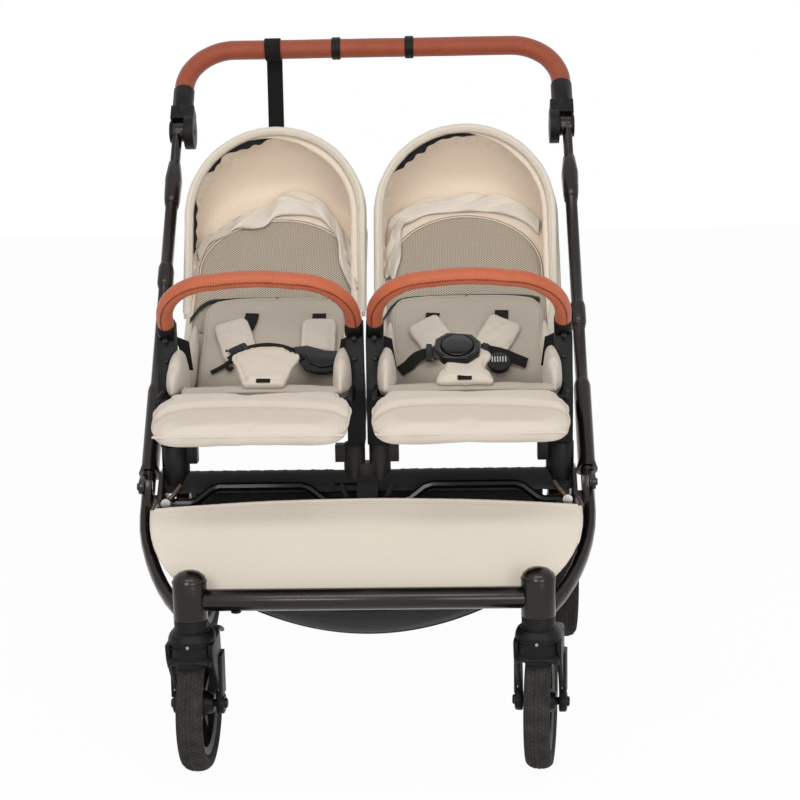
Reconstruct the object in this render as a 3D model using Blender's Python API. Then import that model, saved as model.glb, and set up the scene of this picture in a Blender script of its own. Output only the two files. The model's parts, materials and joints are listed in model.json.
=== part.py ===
"""Side by side double stroller: two seat units docked on one folding chassis.

Lengths are metres, +Z is up and the child looks along -Y. Left is -X and right is +X, as seen
from the front. "Back" distances are measured towards +Y from the axis on which the casters
swivel. The last function slides the whole model so that its origin is at the bottom centre.
"""
import math

import bmesh
import bpy
from mathutils import Matrix, Vector

LEFT, RIGHT = -1, 1
SIDES = (("left", LEFT), ("right", RIGHT))
CLEARANCE = 0.0003

# Wheels and casters
FRONT_WHEEL_R = 0.100
FRONT_TYRE_W = 0.040
FRONT_TYRE_H = 0.024
REAR_WHEEL_R = 0.1423
REAR_TYRE_W = 0.045
REAR_TYRE_H = 0.030
REAR_AXLE_BACK = 0.6415
REAR_WHEEL_X = 0.328
RIM_INSET = 0.005
RIM_DEPTH = 0.011
SPOKES = 5
SPOKE_W = 0.014
SPOKE_T = 0.010
HUB_R = 0.019
HUB_OVERHANG = 0.002
WHEEL_SEGMENTS = 28
CASTER_X = 0.251
CASTER_TRAIL = 0.043
CASTER_YAW = {"left": math.radians(2.1), "right": math.radians(7.5)}
AXLE_R = 0.005
AXLE_PLAY = 0.0004
COLLAR_R = 0.0245
COLLAR_DEPTH = 0.024
GUARD_GAP = 0.006
GUARD_T = 0.007
FORK_GAP = 0.007
FORK_ARM_T = 0.008
FORK_LUG_R = 0.015
FORK_SHOULDER_H = 0.011
DAMPER_SIZE = (0.013, 0.032, 0.056)
DAMPER_FORWARD = 0.004

# Front cross bar and caster housings
FRONT_BAR_R = 0.016
FRONT_BAR_Z = 0.272
HOUSING_R = 0.025
HOUSING_FOOT_Z = 0.245
HOUSING_SHOULDER_Z = 0.300
DOME_H = 0.017

# Side tubes and the line that they share with the push tubes
SIDE_X = 0.337
TUBE_W = 0.019
TUBE_D = 0.030
PUSH_ANGLE = math.radians(50.6)
SPLIT_BACK = 0.1797
SPLIT_Z = 0.385
SIDE_STRAIGHT = 0.040
SIDE_BEND_LOW = Vector((0.030, 0.020, 0.010))
SIDE_BEND_HIGH = 0.062
SIDE_FOOT_Z = 0.250
HINGE_OFFSET = 0.027
HINGE_LUG_R = 0.0115
HINGE_LUG_LENGTH = 0.030
HINGE_PIN_R = 0.004
BOLT_HEAD_R = 0.0055
BOLT_HEAD_H = 0.003

# Seat cross bar, its brackets, the arched tubes in front of it and the docking adapters
DOCK_BACK = 0.200
CROSSBAR_R = 0.0165
CROSSBAR_Z = 0.3985
BRACKET_T = 0.0075
SLEEVE_PLAY = 0.0005
POST_W = 0.030
POST_DROP = 0.036
ARCH_R = 0.0065
ARCH_BACK = 0.165
ARCH_Z = 0.374
ARCH_RISE = 0.025
ARCH_TOP_IN = 0.100
ARCH_TOP_OUT = 0.225
ARCH_SLOPE = 0.045
ADAPTER_H = 0.044
OUTER_ADAPTER_X = 0.2955
OUTER_ADAPTER_R = 0.0215
INNER_ADAPTER_X = 0.0195
INNER_ADAPTER_R = 0.0165
BRACKET_ABOVE = 0.002
CLIP_SIZE = (0.016, 0.022, 0.026)
SPIGOT_R = 0.0065
SPIGOT_L = 0.020
SPIGOT_PLAY = 0.0005

# Rear legs, axle and brake
LEG_BACK = 0.215
LEG_Z = 0.365
LEG_X = 0.288
LEG_W = 0.020
LEG_D = 0.024
LEG_EYE_R = 0.0145
LEG_FOOT_WALL = 0.008
AXLE_TUBE_R = 0.0125
AXLE_END_X = 0.3005
HUB_PIN_R = 0.006
BRAKE_ARM = 0.024
BRAKE_RISE = 0.008
BRAKE_W = 0.090
BRAKE_L = 0.050
BRAKE_T = 0.008
BRAKE_LUG_GAP = 0.005
BRAKE_LUG_T = 0.006
BRAKE_LUG_H = 0.018
BRAKE_LUG_END = 0.008
BRAKE_PIN_R = 0.0028
BRAKE_PIN_IN = 0.004

# Basket
BASKET_T = 0.003
BASKET_SIDE_GAP = 0.018
BASKET_FLOOR_FRONT = 0.180
BASKET_FLOOR_REAR = 0.500
BASKET_REAR_BACK = 0.555
BASKET_TOP_Z = 0.345
BASKET_REAR_TOP_Z = 0.305
BASKET_LIP = 0.045
BASKET_SAG_Z = 0.160
BASKET_FLOOR_R = 0.394
PANEL_T = 0.004
PANEL_TOP_BACK = 0.117
PANEL_TOP_Z = 0.381
PANEL_FOOT_DROP = 0.004
PANEL_SIDE_GAP = 0.004
PANEL_PAST_CASTER = 0.015
PANEL_TAB_HALF = 0.222
PANEL_TAB_H = 0.028
PANEL_CURVE = 2.5
PANEL_TOP_RISE = 0.014

# Push tubes, height adjusters and handle, in metres up the push line from the fold split
SLEEVE_START = 0.033
SLEEVE_L = 0.155
SLEEVE_W = 0.026
SLEEVE_D = 0.037
FLARE_W = 0.033
FLARE_D = 0.044
FLARE_L = 0.014
PUSH_TOP = 0.537
COLLAR_L = 0.085
COLLAR_W = 0.028
COLLAR_D = 0.040
TRIGGER_START = {"left": 0.371, "right": 0.287}
TRIGGER_L = 0.045
TRIGGER_W = 0.025
TRIGGER_D = 0.037
TUBE_WALL = 0.0015
STEM_SHOWS = 0.040
STEM_INSIDE = 0.220
HEIGHT_DOWN = 0.035
KNUCKLE_R = 0.030
KNUCKLE_EYE_R = 0.017
KNUCKLE_CHEEK_R = 0.019
KNUCKLE_W = 0.042
KNUCKLE_EYE_W = 0.021
KNUCKLE_PIN_R = 0.006
KNUCKLE_IN = 0.009
KNUCKLE_EYE_IN = 0.003
KNUCKLE_PLAY = 0.0005
KNUCKLE_BRIDGE_HALF = 0.016
KNUCKLE_BRIDGE_PLAY = 0.002
CUFF_L = 0.045
GRIP_R = 0.017
GRIP_X = 0.331
GRIP_START = 0.091
GRIP_REACH = 0.180
GRIP_BEND_R = 0.086
CUFF_R = 0.0185
RING_X = 0.065
RING_W = 0.016
RING_R = 0.0200
STRAP_X = -0.178
STRAP_W = 0.028
STRAP_T = 0.0025
STRAP_L = 0.300
STRAP_PLAY = 0.0006

# Seat units
SEAT_X = 0.158
ARM_OUT = 0.1560
ARM_T = 0.0260
EAR_T = 0.0115
BLOCK_BACK = 0.197
BLOCK_Z = 0.6325
BLOCK_D = 0.040
BAR_TILT = math.radians(47.4)
SEAT_FRONT_BACK = 0.106
SEAT_REAR_BACK = 0.250
SEAT_FRONT_Z = 0.566
SEAT_REAR_Z = 0.520
SEAT_T = 0.028
SEAT_SIDE_PLAY = 0.0007
BOLSTER_T = 0.026
BOLSTER_H = 0.072
PAN_T = 0.010
PAN_FRONT_INSET = 0.006
ARM_FOOT_BACK = 0.026
ARM_FOOT_H = 0.020
ARM_FLARE = 0.004
ARM_WAIST_DROP = 0.0575
ARM_BELLY_DROP = 0.0875
ARM_HIP_DROP = 0.1275
BACK_EAR_R = 0.015
BACK_EAR_REACH = 0.020
BACK_EAR_ROOT = 0.025

# Backrest and hood
BACK_PIVOT_BACK = 0.270
BACK_PIVOT_Z = 0.500
BACK_ANGLE = math.radians(41.0)
BACK_T = 0.012
BACK_PIVOT_R = 0.005
PAD_T = 0.022
PAD_START = 0.035
PAD_L = 0.172
PAD_HALF = 0.122
HOOD_PIVOT_T = 0.200
HOOD_INSIDE_ARM = 0.0055
HOOD_T = 0.003
HOOD_GAP = 0.001
HOOD_LEG = 0.166
HOOD_RIM_OUT = 0.004
HOOD_RIM_W = math.radians(3.2)
HOOD_RIM_ANGLE = math.radians(71.8)
HOOD_FRONT_FROM = math.radians(50.0)
HOOD_REAR_FROM = math.radians(39.5)
HOOD_REAR_TO = math.radians(66.0)
HOOD_PIN_R = 0.005

# Calf rest
CALF_PIVOT_BACK = 0.080
CALF_PIVOT_Z = 0.548
CALF_SLOPE = math.radians(23.0)
CALF_L = 0.102
CALF_T = 0.033
CALF_HALF = 0.1460
CALF_PIVOT_REAR = 0.014
CALF_PIN_R = 0.004
CALF_PIN_IN = 0.118
CALF_EAR_X = 0.1375
CALF_EAR_T = 0.006
CALF_EAR_R = 0.010
CALF_NOTCH_R = 0.019

# Bumper bar
BAR_R = 0.014
BAR_HALF = 0.1415
BAR_REACH = 0.118
BAR_BEND_R = 0.085
TONGUE_R = 0.006
TONGUE_L = 0.025

# Harness
SHOULDER_MID = 0.107
SHOULDER_L = 0.072
SHOULDER_W = 0.052
SHOULDER_T = 0.016
SHOULDER_X = {"left": (-0.054, 0.078), "right": (-0.054, 0.046)}
SHOULDER_TURN = {"left": (19.0, 0.0), "right": (31.0, -28.0)}
CROTCH_BACK = 0.110
CROTCH_W = 0.108
CROTCH_FOOT_W = 0.062
CROTCH_L = 0.085
CROTCH_T = 0.012
CROTCH_LEAN = math.radians(48.0)
CROTCH_X = {"left": 0.012, "right": -0.008}
BUCKLE_X = {"left": 0.0, "right": -0.010}
BUCKLE_TURN = {"left": 0.0, "right": -7.0}
BUCKLE_UP = 0.055
BUCKLE_W = 0.068
BUCKLE_H = 0.058
BUCKLE_T = 0.015
BUTTON_R = 0.0235
BUTTON_DEPTH = 0.005
BUTTON_PROUD = 0.002

# What follows from the sizes above
SEAT_HALF = ARM_OUT - ARM_T - SEAT_SIDE_PLAY
HOOD_HALF = ARM_OUT - HOOD_INSIDE_ARM
BASKET_W = 2 * (LEG_X - LEG_W / 2 - BASKET_SIDE_GAP)
PANEL_TOP_HALF = SIDE_X - TUBE_W / 2 - PANEL_SIDE_GAP
PANEL_FOOT_HALF = CASTER_X + PANEL_PAST_CASTER
BRAKE_PIVOT_Z = REAR_WHEEL_R + BRAKE_RISE
PANEL_OFF = FRONT_BAR_R + PANEL_T / 2 + CLEARANCE
PANEL_REACH = math.hypot(PANEL_TOP_BACK, PANEL_TOP_Z - FRONT_BAR_Z)
PANEL_LEAN = math.atan2(PANEL_TOP_BACK, PANEL_TOP_Z - FRONT_BAR_Z) - math.asin(PANEL_OFF / PANEL_REACH)
BRACKET_OUT_X = SIDE_X - FLARE_W / 2 - SLEEVE_PLAY
BRACKET_IN_X = BRACKET_OUT_X - BRACKET_T
BRACKET_TOP_Z = CROSSBAR_Z + CROSSBAR_R + BRACKET_ABOVE
DOCK_TOP_Z = CROSSBAR_Z + CROSSBAR_R + ADAPTER_H
PUSH_DIR = Vector((0.0, math.cos(PUSH_ANGLE), math.sin(PUSH_ANGLE)))
PUSH_NORMAL = Vector((0.0, -math.sin(PUSH_ANGLE), math.cos(PUSH_ANGLE)))
BACK_DIR = Vector((0.0, math.cos(BACK_ANGLE), math.sin(BACK_ANGLE)))
BAR_DIR = Vector((0.0, -math.cos(BAR_TILT), math.sin(BAR_TILT)))
BAR_NORMAL = Vector((0.0, math.sin(BAR_TILT), math.cos(BAR_TILT)))
X_AXIS = Vector((1.0, 0.0, 0.0))
Y_AXIS = Vector((0.0, 1.0, 0.0))
Z_AXIS = Vector((0.0, 0.0, 1.0))
FRAMES = {}


# Materials

def material(name, color, roughness, metallic=0.0):
    mat = bpy.data.materials.new(name)
    mat.use_nodes = True
    shader = mat.node_tree.nodes["Principled BSDF"]
    channels = [int(color[i:i + 2], 16) / 255 for i in (0, 2, 4)]
    linear = [c / 12.92 if c <= 0.04045 else ((c + 0.055) / 1.055) ** 2.4 for c in channels]
    shader.inputs["Base Color"].default_value = (*linear, 1.0)
    shader.inputs["Roughness"].default_value = roughness
    shader.inputs["Metallic"].default_value = metallic
    return mat


# Shapes: every helper gives one closed solid

def push_point(s, x=0.0, offset=0.0):
    """A point s up the push line from the fold split, moved by offset towards the front."""
    point = Vector((x, SPLIT_BACK, SPLIT_Z)) + PUSH_DIR * s
    return point + PUSH_NORMAL * offset


def loft(rings, loop=False):
    """Skin a row of equal rings; a row that is no loop is closed by its first and last ring."""
    count = len(rings[0])
    vertices = [point for ring in rings for point in ring]
    faces = []
    for i in range(len(rings) if loop else len(rings) - 1):
        low = i * count
        high = ((i + 1) % len(rings)) * count
        for j in range(count):
            k = (j + 1) % count
            faces.append((low + j, low + k, high + k, high + j))
    if not loop:
        faces.append(tuple(range(count)))
        faces.append(tuple(range(len(vertices) - count, len(vertices))))
    mesh = bpy.data.meshes.new("shape")
    mesh.from_pydata(vertices, [], faces)
    bm = bmesh.new()
    bm.from_mesh(mesh)
    bmesh.ops.recalc_face_normals(bm, faces=bm.faces)
    bm.to_mesh(mesh)
    bm.free()
    shape = bpy.data.objects.new("shape", mesh)
    shape.hide_render = True
    shape.display_type = "WIRE"
    bpy.context.scene.collection.objects.link(shape)
    return shape


def circle(radius, count=16, start=0.0):
    angles = [start + 2 * math.pi * i / count for i in range(count)]
    return [(radius * math.cos(a), radius * math.sin(a)) for a in angles]


def stadium(width, depth, arc=4):
    """A tube section that is width across, with round edges at both ends of its depth."""
    radius = width / 2
    reach = depth / 2 - radius
    upper = [math.pi * i / arc for i in range(arc + 1)]
    top = [(radius * math.cos(a), reach + radius * math.sin(a)) for a in upper]
    return top + [(-u, -v) for u, v in top]


def sweep(points, section, side):
    """Carry a section along points; the first section axis stays as near to side as it can."""
    rings = []
    for i, point in enumerate(points):
        ahead = points[min(i + 1, len(points) - 1)]
        behind = points[max(i - 1, 0)]
        tangent = (ahead - behind).normalized()
        u = (side - tangent * side.dot(tangent)).normalized()
        v = tangent.cross(u)
        rings.append([point + u * a + v * b for a, b in section])
    return loft(rings)


def turned(base, axis, profile, count=16):
    """Turn a profile of (distance along the axis, radius) pairs."""
    side = X_AXIS if abs(axis.x) < 0.5 else Y_AXIS
    u = (side - axis * side.dot(axis)).normalized()
    v = axis.cross(u)
    rings = []
    for s, radius in profile:
        centre = base + axis * s
        rings.append([centre + u * a + v * b for a, b in circle(radius, count)])
    return loft(rings)


def rod(start, end, radius, count=12):
    axis = end - start
    return turned(start, axis.normalized(), [(0.0, radius), (axis.length, radius)], count)


def hoop(centre, section, count):
    """Turn a closed section of (radius, x) pairs round the X direction into a ring."""
    rings = []
    for i in range(count):
        angle = 2 * math.pi * i / count - math.pi / 2
        out = Y_AXIS * math.cos(angle) + Z_AXIS * math.sin(angle)
        rings.append([centre + out * radius + X_AXIS * x for radius, x in section])
    return loft(rings, loop=True)


def prism(outline, x_from, x_to):
    """Extrude an outline of (back, height) points along X."""
    return loft([[Vector((x, y, z)) for y, z in outline] for x in (x_from, x_to)])


def slab(outline, origin, u, v, low, high):
    """Extrude an outline given along u and v from low to high along their normal."""
    w = u.cross(v)
    rings = []
    for level in (low, high):
        rings.append([origin + u * a + v * b + w * level for a, b in outline])
    return loft(rings)


def cushion(outline, origin, u, v, low, high, inset):
    """A slab whose two faces are drawn in, so that its edges are rounded."""
    w = u.cross(v)
    centre_u = sum(a for a, b in outline) / len(outline)
    centre_v = sum(b for a, b in outline) / len(outline)
    reach_u = max(abs(a - centre_u) for a, b in outline)
    reach_v = max(abs(b - centre_v) for a, b in outline)
    rings = []
    for share, pull in ((0.0, 1.0), (0.12, 0.3), (0.3, 0.0), (0.7, 0.0), (0.88, 0.3), (1.0, 1.0)):
        scale_u = 1 - inset * pull / reach_u
        scale_v = 1 - inset * pull / reach_v
        level = low + (high - low) * share
        ring = []
        for a, b in outline:
            flat = u * (centre_u + (a - centre_u) * scale_u) + v * (centre_v + (b - centre_v) * scale_v)
            ring.append(origin + flat + w * level)
        rings.append(ring)
    return loft(rings)


def rounded_box(u_from, u_to, v_from, v_to, radius, arc=3):
    points = []
    corners = ((u_to, v_to, 0), (u_from, v_to, 1), (u_from, v_from, 2), (u_to, v_from, 3))
    for u, v, quarter in corners:
        centre_u = u - math.copysign(radius, u - (u_from + u_to) / 2)
        centre_v = v - math.copysign(radius, v - (v_from + v_to) / 2)
        for i in range(arc + 1):
            angle = math.pi / 2 * (quarter + i / arc)
            points.append((centre_u + radius * math.cos(angle), centre_v + radius * math.sin(angle)))
    return points


def box(centre, size):
    half_x, half_y, half_z = (length / 2 for length in size)
    corners = ((1, 1), (-1, 1), (-1, -1), (1, -1))
    outline = [(centre.y + a * half_y, centre.z + b * half_z) for a, b in corners]
    return prism(outline, centre.x - half_x, centre.x + half_x)


def disc(back, height, radius, x_from, x_to, count=14):
    outline = [(back + a, height + b) for a, b in circle(radius, count)]
    return prism(outline, x_from, x_to)


def bezier(p0, p1, p2, p3, steps):
    points = []
    for i in range(steps + 1):
        t = i / steps
        a, b, c, d = (1 - t) ** 3, 3 * t * (1 - t) ** 2, 3 * t * t * (1 - t), t ** 3
        points.append(p0 * a + p1 * b + p2 * c + p3 * d)
    return points


def u_path(half, reach, bend, start, up, origin, steps=6):
    """A path up one leg at x = half, round a bend, across at reach and down the other leg."""
    right = [origin + X_AXIS * half + up * start, origin + X_AXIS * half + up * (reach - bend)]
    for i in range(1, steps + 1):
        angle = math.pi / 2 * i / steps
        corner = origin + X_AXIS * (half - bend) + up * (reach - bend)
        right.append(corner + X_AXIS * bend * math.cos(angle) + up * bend * math.sin(angle))
    left = []
    for point in reversed(right):
        across = point - origin
        across.x = -across.x
        left.append(origin + across)
    return right + left


# Nodes and the empties that carry them

def joint_frame(name, location, parent=None, turn=0.0):
    empty = bpy.data.objects.new(name, None)
    empty.empty_display_size = 0.03
    bpy.context.scene.collection.objects.link(empty)
    base = FRAMES[parent][1] if parent else Matrix.Identity(4)
    matrix = Matrix.Translation(location) @ Matrix.Rotation(turn, 4, "Z")
    FRAMES[name] = (empty, matrix)
    empty.parent = FRAMES[parent][0] if parent else None
    empty.matrix_local = base.inverted() @ matrix
    return name


def node(name, frame, mat, pieces, cuts=(), local=False):
    """Join the pieces, take the cuts away and hang the result on its frame under one name."""
    base = pieces[0]
    steps = [(piece, "UNION") for piece in pieces[1:]] + [(cut, "DIFFERENCE") for cut in cuts]
    for other, operation in steps:
        modifier = base.modifiers.new(operation, "BOOLEAN")
        modifier.operation = operation
        modifier.object = other
        modifier.solver = "EXACT"
    graph = bpy.context.evaluated_depsgraph_get()
    mesh = bpy.data.meshes.new_from_object(base.evaluated_get(graph))
    for temporary in [base] + [other for other, operation in steps]:
        bpy.data.objects.remove(temporary, do_unlink=True)
    mesh.name = name
    if not local:
        mesh.transform(FRAMES[frame][1].inverted())
    mesh.materials.clear()
    mesh.materials.append(mat)
    mesh.shade_smooth()
    mesh.set_sharp_from_angle(angle=math.radians(35))
    piece = bpy.data.objects.new(name, mesh)
    bpy.context.scene.collection.objects.link(piece)
    piece.parent = FRAMES[frame][0]
    return piece


# Wheels

def wheel(names, frame, radius, width, height, pin, mats):
    """A tyre and its spoked rim, both round X and centred on their frame."""
    origin = Vector((0, 0, 0))
    inner = radius - height
    half = width / 2
    crown = height * 0.22
    tyre = [(radius, 0.0), (radius - crown * 0.35, half * 0.55), (radius - crown * 1.6, half * 0.93),
            (radius - height * 0.7, half), (inner, half - RIM_INSET)]
    section = tyre + [(r, -x) for r, x in reversed(tyre[1:])]
    node(names[0], frame, mats["tyre"], [hoop(origin, section, WHEEL_SEGMENTS)], local=True)
    seat = inner - CLEARANCE
    rim_half = half - RIM_INSET
    floor = seat - RIM_DEPTH
    rim = [(seat, rim_half), (floor, rim_half * 0.8), (floor, -rim_half * 0.8), (seat, -rim_half)]
    pieces = [hoop(origin, rim, WHEEL_SEGMENTS)]
    hub_half = half + HUB_OVERHANG
    bore = pin + AXLE_PLAY
    hub = [(HUB_R, half * 0.4), (HUB_R * 0.7, hub_half), (bore, hub_half),
           (bore, -hub_half), (HUB_R * 0.7, -hub_half), (HUB_R, -half * 0.4)]
    pieces.append(hoop(origin, hub, 14))
    for i in range(SPOKES):
        angle = 2 * math.pi * i / SPOKES + math.pi / 2
        out = Y_AXIS * math.cos(angle) + Z_AXIS * math.sin(angle)
        across = X_AXIS.cross(out)
        reach = floor + RIM_DEPTH * 0.5
        foot = HUB_R * 0.6
        outline = [(foot, -SPOKE_W / 2), (reach, -SPOKE_W * 0.36),
                   (reach, SPOKE_W * 0.36), (foot, SPOKE_W / 2)]
        pieces.append(slab(outline, origin, out, across, -SPOKE_T / 2, SPOKE_T / 2))
    node(names[1], frame, mats["rim"], pieces, local=True)


def caster(side_name, side, mats):
    """One caster: collar, mudguard crown, two arms with damper boxes, axle and wheel."""
    frame = joint_frame("caster_" + side_name, Vector((side * CASTER_X, 0, 0)), "rig",
                        CASTER_YAW[side_name] * -1)
    axle = Vector((0, CASTER_TRAIL, FRONT_WHEEL_R))
    guard_in = FRONT_WHEEL_R + GUARD_GAP
    guard_out = guard_in + GUARD_T
    arm_in = FRONT_TYRE_W / 2 + FORK_GAP
    arm_out = arm_in + FORK_ARM_T
    steps = 5
    outer, inner = [], []
    for i in range(steps + 1):
        angle = math.radians(68 + (142 - 68) * i / steps)
        outer.append((axle.y + guard_out * math.cos(angle), axle.z + guard_out * math.sin(angle)))
        inner.append((axle.y + guard_in * math.cos(angle), axle.z + guard_in * math.sin(angle)))
    pieces = [prism(outer + inner[::-1], -arm_out, arm_out)]
    collar_top = HOUSING_FOOT_Z - CLEARANCE
    crown_z = axle.z + guard_in + GUARD_T * 0.5
    pieces.append(turned(Vector((0, 0, 0)), Z_AXIS,
                         [(crown_z - COLLAR_DEPTH / 2, COLLAR_R), (collar_top - COLLAR_DEPTH, COLLAR_R),
                          (collar_top, COLLAR_R)], 18))
    for hand in (LEFT, RIGHT):
        low, high = sorted((hand * arm_in, hand * arm_out))
        top = []
        for angle, share in ((129.4, 1.0), (121.0, 0.85), (105.6, 0.2)):
            reach = guard_out + FORK_SHOULDER_H * share
            angle = math.radians(angle)
            top.append((axle.y + reach * math.cos(angle), axle.z + reach * math.sin(angle)))
        lug = []
        for i in range(5):
            angle = math.radians(-150 + 200 * i / 4)
            lug.append((axle.y + FORK_LUG_R * math.cos(angle), axle.z + FORK_LUG_R * math.sin(angle)))
        pieces.append(prism(top[::-1] + lug, low, high))
        size_x, size_y, size_z = DAMPER_SIZE
        centre = Vector((hand * (arm_in + size_x / 2), axle.y - DAMPER_FORWARD, axle.z + size_z * 0.72))
        pieces.append(box(centre, DAMPER_SIZE))
    pieces.append(rod(axle - X_AXIS * (arm_out - 0.001), axle + X_AXIS * (arm_out - 0.001), AXLE_R))
    tyre_room = [(FRONT_WHEEL_R + GUARD_GAP * 0.6, -arm_in), (FRONT_WHEEL_R + GUARD_GAP * 0.6, arm_in),
                 (FORK_LUG_R, arm_in), (FORK_LUG_R, -arm_in)]
    cut = hoop(axle, tyre_room, 20)
    node("caster_fork_" + side_name, frame, mats["frame"], pieces, [cut], local=True)
    spin = joint_frame("front_wheel_" + side_name, FRAMES[frame][1] @ axle, frame, CASTER_YAW[side_name] * -1)
    wheel(("front_tyre_" + side_name, "front_rim_" + side_name), spin,
          FRONT_WHEEL_R, FRONT_TYRE_W, FRONT_TYRE_H, AXLE_R, mats)


# Chassis

def front_bar(mats):
    reach = CASTER_X - 0.004
    bar = rod(Vector((-reach, 0, FRONT_BAR_Z)), Vector((reach, 0, FRONT_BAR_Z)), FRONT_BAR_R, 20)
    cuts = []
    for name, side in SIDES:
        foot = Vector((side * CASTER_X, 0, HOUSING_FOOT_Z - 0.02))
        cuts.append(rod(foot, foot + Z_AXIS * 0.12, HOUSING_R + CLEARANCE, 20))
    node("front_crossbar", "rig", mats["frame"], [bar], cuts)


def housing_profile(grow=0.0):
    profile = [(0.0, HOUSING_R + grow), (HOUSING_SHOULDER_Z - HOUSING_FOOT_Z, HOUSING_R + grow)]
    for i in (1, 2, 3):
        angle = math.pi / 2 * i / 3.5
        profile.append((profile[1][0] + DOME_H * math.sin(angle), HOUSING_R * math.cos(angle) + grow))
    return profile


def caster_housing(side_name, side, mats):
    foot = Vector((side * CASTER_X, 0, HOUSING_FOOT_Z))
    node("caster_housing_" + side_name, "rig", mats["frame"], [turned(foot, Z_AXIS, housing_profile(), 20)])


def side_tube(side_name, side, mats):
    """The lower side tube, its inner bracket, the lug and pin of the fold hinge and the leg pin."""
    top = push_point(0.0)
    straight = push_point(-SIDE_STRAIGHT)
    foot = Vector((CASTER_X + HOUSING_R * 0.4, HOUSING_R * 0.35, SIDE_FOOT_Z))
    bend = bezier(foot, foot + SIDE_BEND_LOW,
                  Vector((SIDE_X, straight.y, straight.z)) - PUSH_DIR * SIDE_BEND_HIGH,
                  Vector((SIDE_X, straight.y, straight.z)), 8)
    path = bend + [Vector((SIDE_X, top.y, top.z)) - PUSH_DIR * CLEARANCE]
    path = [Vector((side * p.x, p.y, p.z)) for p in path]
    pieces = [sweep(path, stadium(TUBE_W, TUBE_D), X_AXIS)]
    inner = SIDE_X - TUBE_W / 2
    hinge = push_point(0.0, offset=HINGE_OFFSET)
    lug_back = push_point(-HINGE_LUG_LENGTH, offset=TUBE_D * 0.3)
    lug_low = push_point(-HINGE_LUG_LENGTH * 0.6, offset=HINGE_OFFSET)
    outline = [(lug_back.y, lug_back.z), (lug_low.y, lug_low.z)]
    for i in range(7):
        angle = PUSH_ANGLE + math.pi / 2 - math.radians(20) - math.radians(175) * i / 6
        outline.append((hinge.y + HINGE_LUG_R * math.cos(angle), hinge.z + HINGE_LUG_R * math.sin(angle)))
    base = push_point(-CLEARANCE * 3, offset=TUBE_D * 0.3)
    outline.append((base.y, base.z))
    lug_half = TUBE_W / 2 - CLEARANCE
    pieces.append(prism(outline, side * inner, side * (inner + lug_half)))
    pin_end = SIDE_X + TUBE_W / 2 + BOLT_HEAD_H
    pieces.append(disc(hinge.y, hinge.z, HINGE_PIN_R, side * (inner + 0.002), side * pin_end, 12))
    pieces.append(disc(hinge.y, hinge.z, BOLT_HEAD_R, side * (pin_end - BOLT_HEAD_H + CLEARANCE),
                       side * pin_end, 12))
    rear = LEG_BACK + LEG_EYE_R
    low = push_point(-SIDE_STRAIGHT * 0.9)
    outline = [(low.y, low.z - 0.004), (rear, LEG_Z - LEG_EYE_R * 0.8), (rear, LEG_Z + LEG_EYE_R * 0.6),
               (DOCK_BACK + CROSSBAR_R + 0.002, BRACKET_TOP_Z), (DOCK_BACK - CROSSBAR_R * 0.8, BRACKET_TOP_Z),
               (low.y - 0.002, low.z + 0.026)]
    pieces.append(prism(outline, side * BRACKET_IN_X, side * BRACKET_OUT_X))
    a = push_point(-SIDE_STRAIGHT * 0.9, offset=0.010)
    b = push_point(-0.006, offset=0.010)
    c = push_point(-0.006, offset=-0.012)
    d = push_point(-SIDE_STRAIGHT * 0.9, offset=-0.012)
    web = [(p.y, p.z) for p in (a, b, c, d)]
    pieces.append(prism(web, side * (BRACKET_IN_X + 0.001), side * (inner + 0.004)))
    pin_in = LEG_X - LEG_W / 2 - 0.002
    pieces.append(disc(LEG_BACK, LEG_Z, HINGE_PIN_R, side * pin_in, side * (BRACKET_IN_X + 0.002), 12))
    cut = turned(Vector((side * CASTER_X, 0, HOUSING_FOOT_Z - CLEARANCE)), Z_AXIS,
                 [(-0.02, HOUSING_R + CLEARANCE)] + housing_profile(CLEARANCE)[1:], 20)
    node("side_tube_" + side_name, "rig", mats["frame"], pieces, [cut])


def seat_crossbar(mats):
    half = BRACKET_IN_X - CLEARANCE
    bar = rod(Vector((-half, DOCK_BACK, CROSSBAR_Z)), Vector((half, DOCK_BACK, CROSSBAR_Z)), CROSSBAR_R, 20)
    post_front = ARCH_BACK - ARCH_R - 0.002
    outline = [(DOCK_BACK, CROSSBAR_Z + CROSSBAR_R * 0.5),
               (DOCK_BACK + CROSSBAR_R * 0.7, CROSSBAR_Z - POST_DROP * 0.6),
               (DOCK_BACK, CROSSBAR_Z - POST_DROP), (post_front, CROSSBAR_Z - POST_DROP),
               (post_front, ARCH_Z + ARCH_R + 0.002)]
    post = prism(outline, -POST_W / 2, POST_W / 2)
    hole = rod(Vector((-POST_W, ARCH_BACK, ARCH_Z)), Vector((POST_W, ARCH_BACK, ARCH_Z)), ARCH_R + CLEARANCE)
    node("seat_crossbar", "rig", mats["black_fabric"], [bar, post], [hole])


def arched_tube(mats):
    """A tube across the chassis that passes through the centre post and rises on both sides of it."""
    outer = BRACKET_IN_X - CLEARANCE
    stops = [(outer, 0), (ARCH_TOP_OUT + ARCH_SLOPE, 0), (ARCH_TOP_OUT, 1), (ARCH_TOP_IN, 1),
             (ARCH_TOP_IN - ARCH_SLOPE, 0), (0, 0)]
    half = []
    for (x0, rise0), (x1, rise1) in zip(stops, stops[1:]):
        steps = 1 if rise0 == rise1 else 4
        for i in range(steps):
            t = i / steps
            rise = rise0 + (rise1 - rise0) * (1 - math.cos(math.pi * t)) / 2
            half.append(Vector((x0 + (x1 - x0) * t, ARCH_BACK, ARCH_Z + ARCH_RISE * rise)))
    path = half + [Vector((-p.x, p.y, p.z)) for p in reversed(half)]
    node("arched_tube", "rig", mats["gloss"], [sweep(path, circle(ARCH_R, 8), Y_AXIS)])


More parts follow.
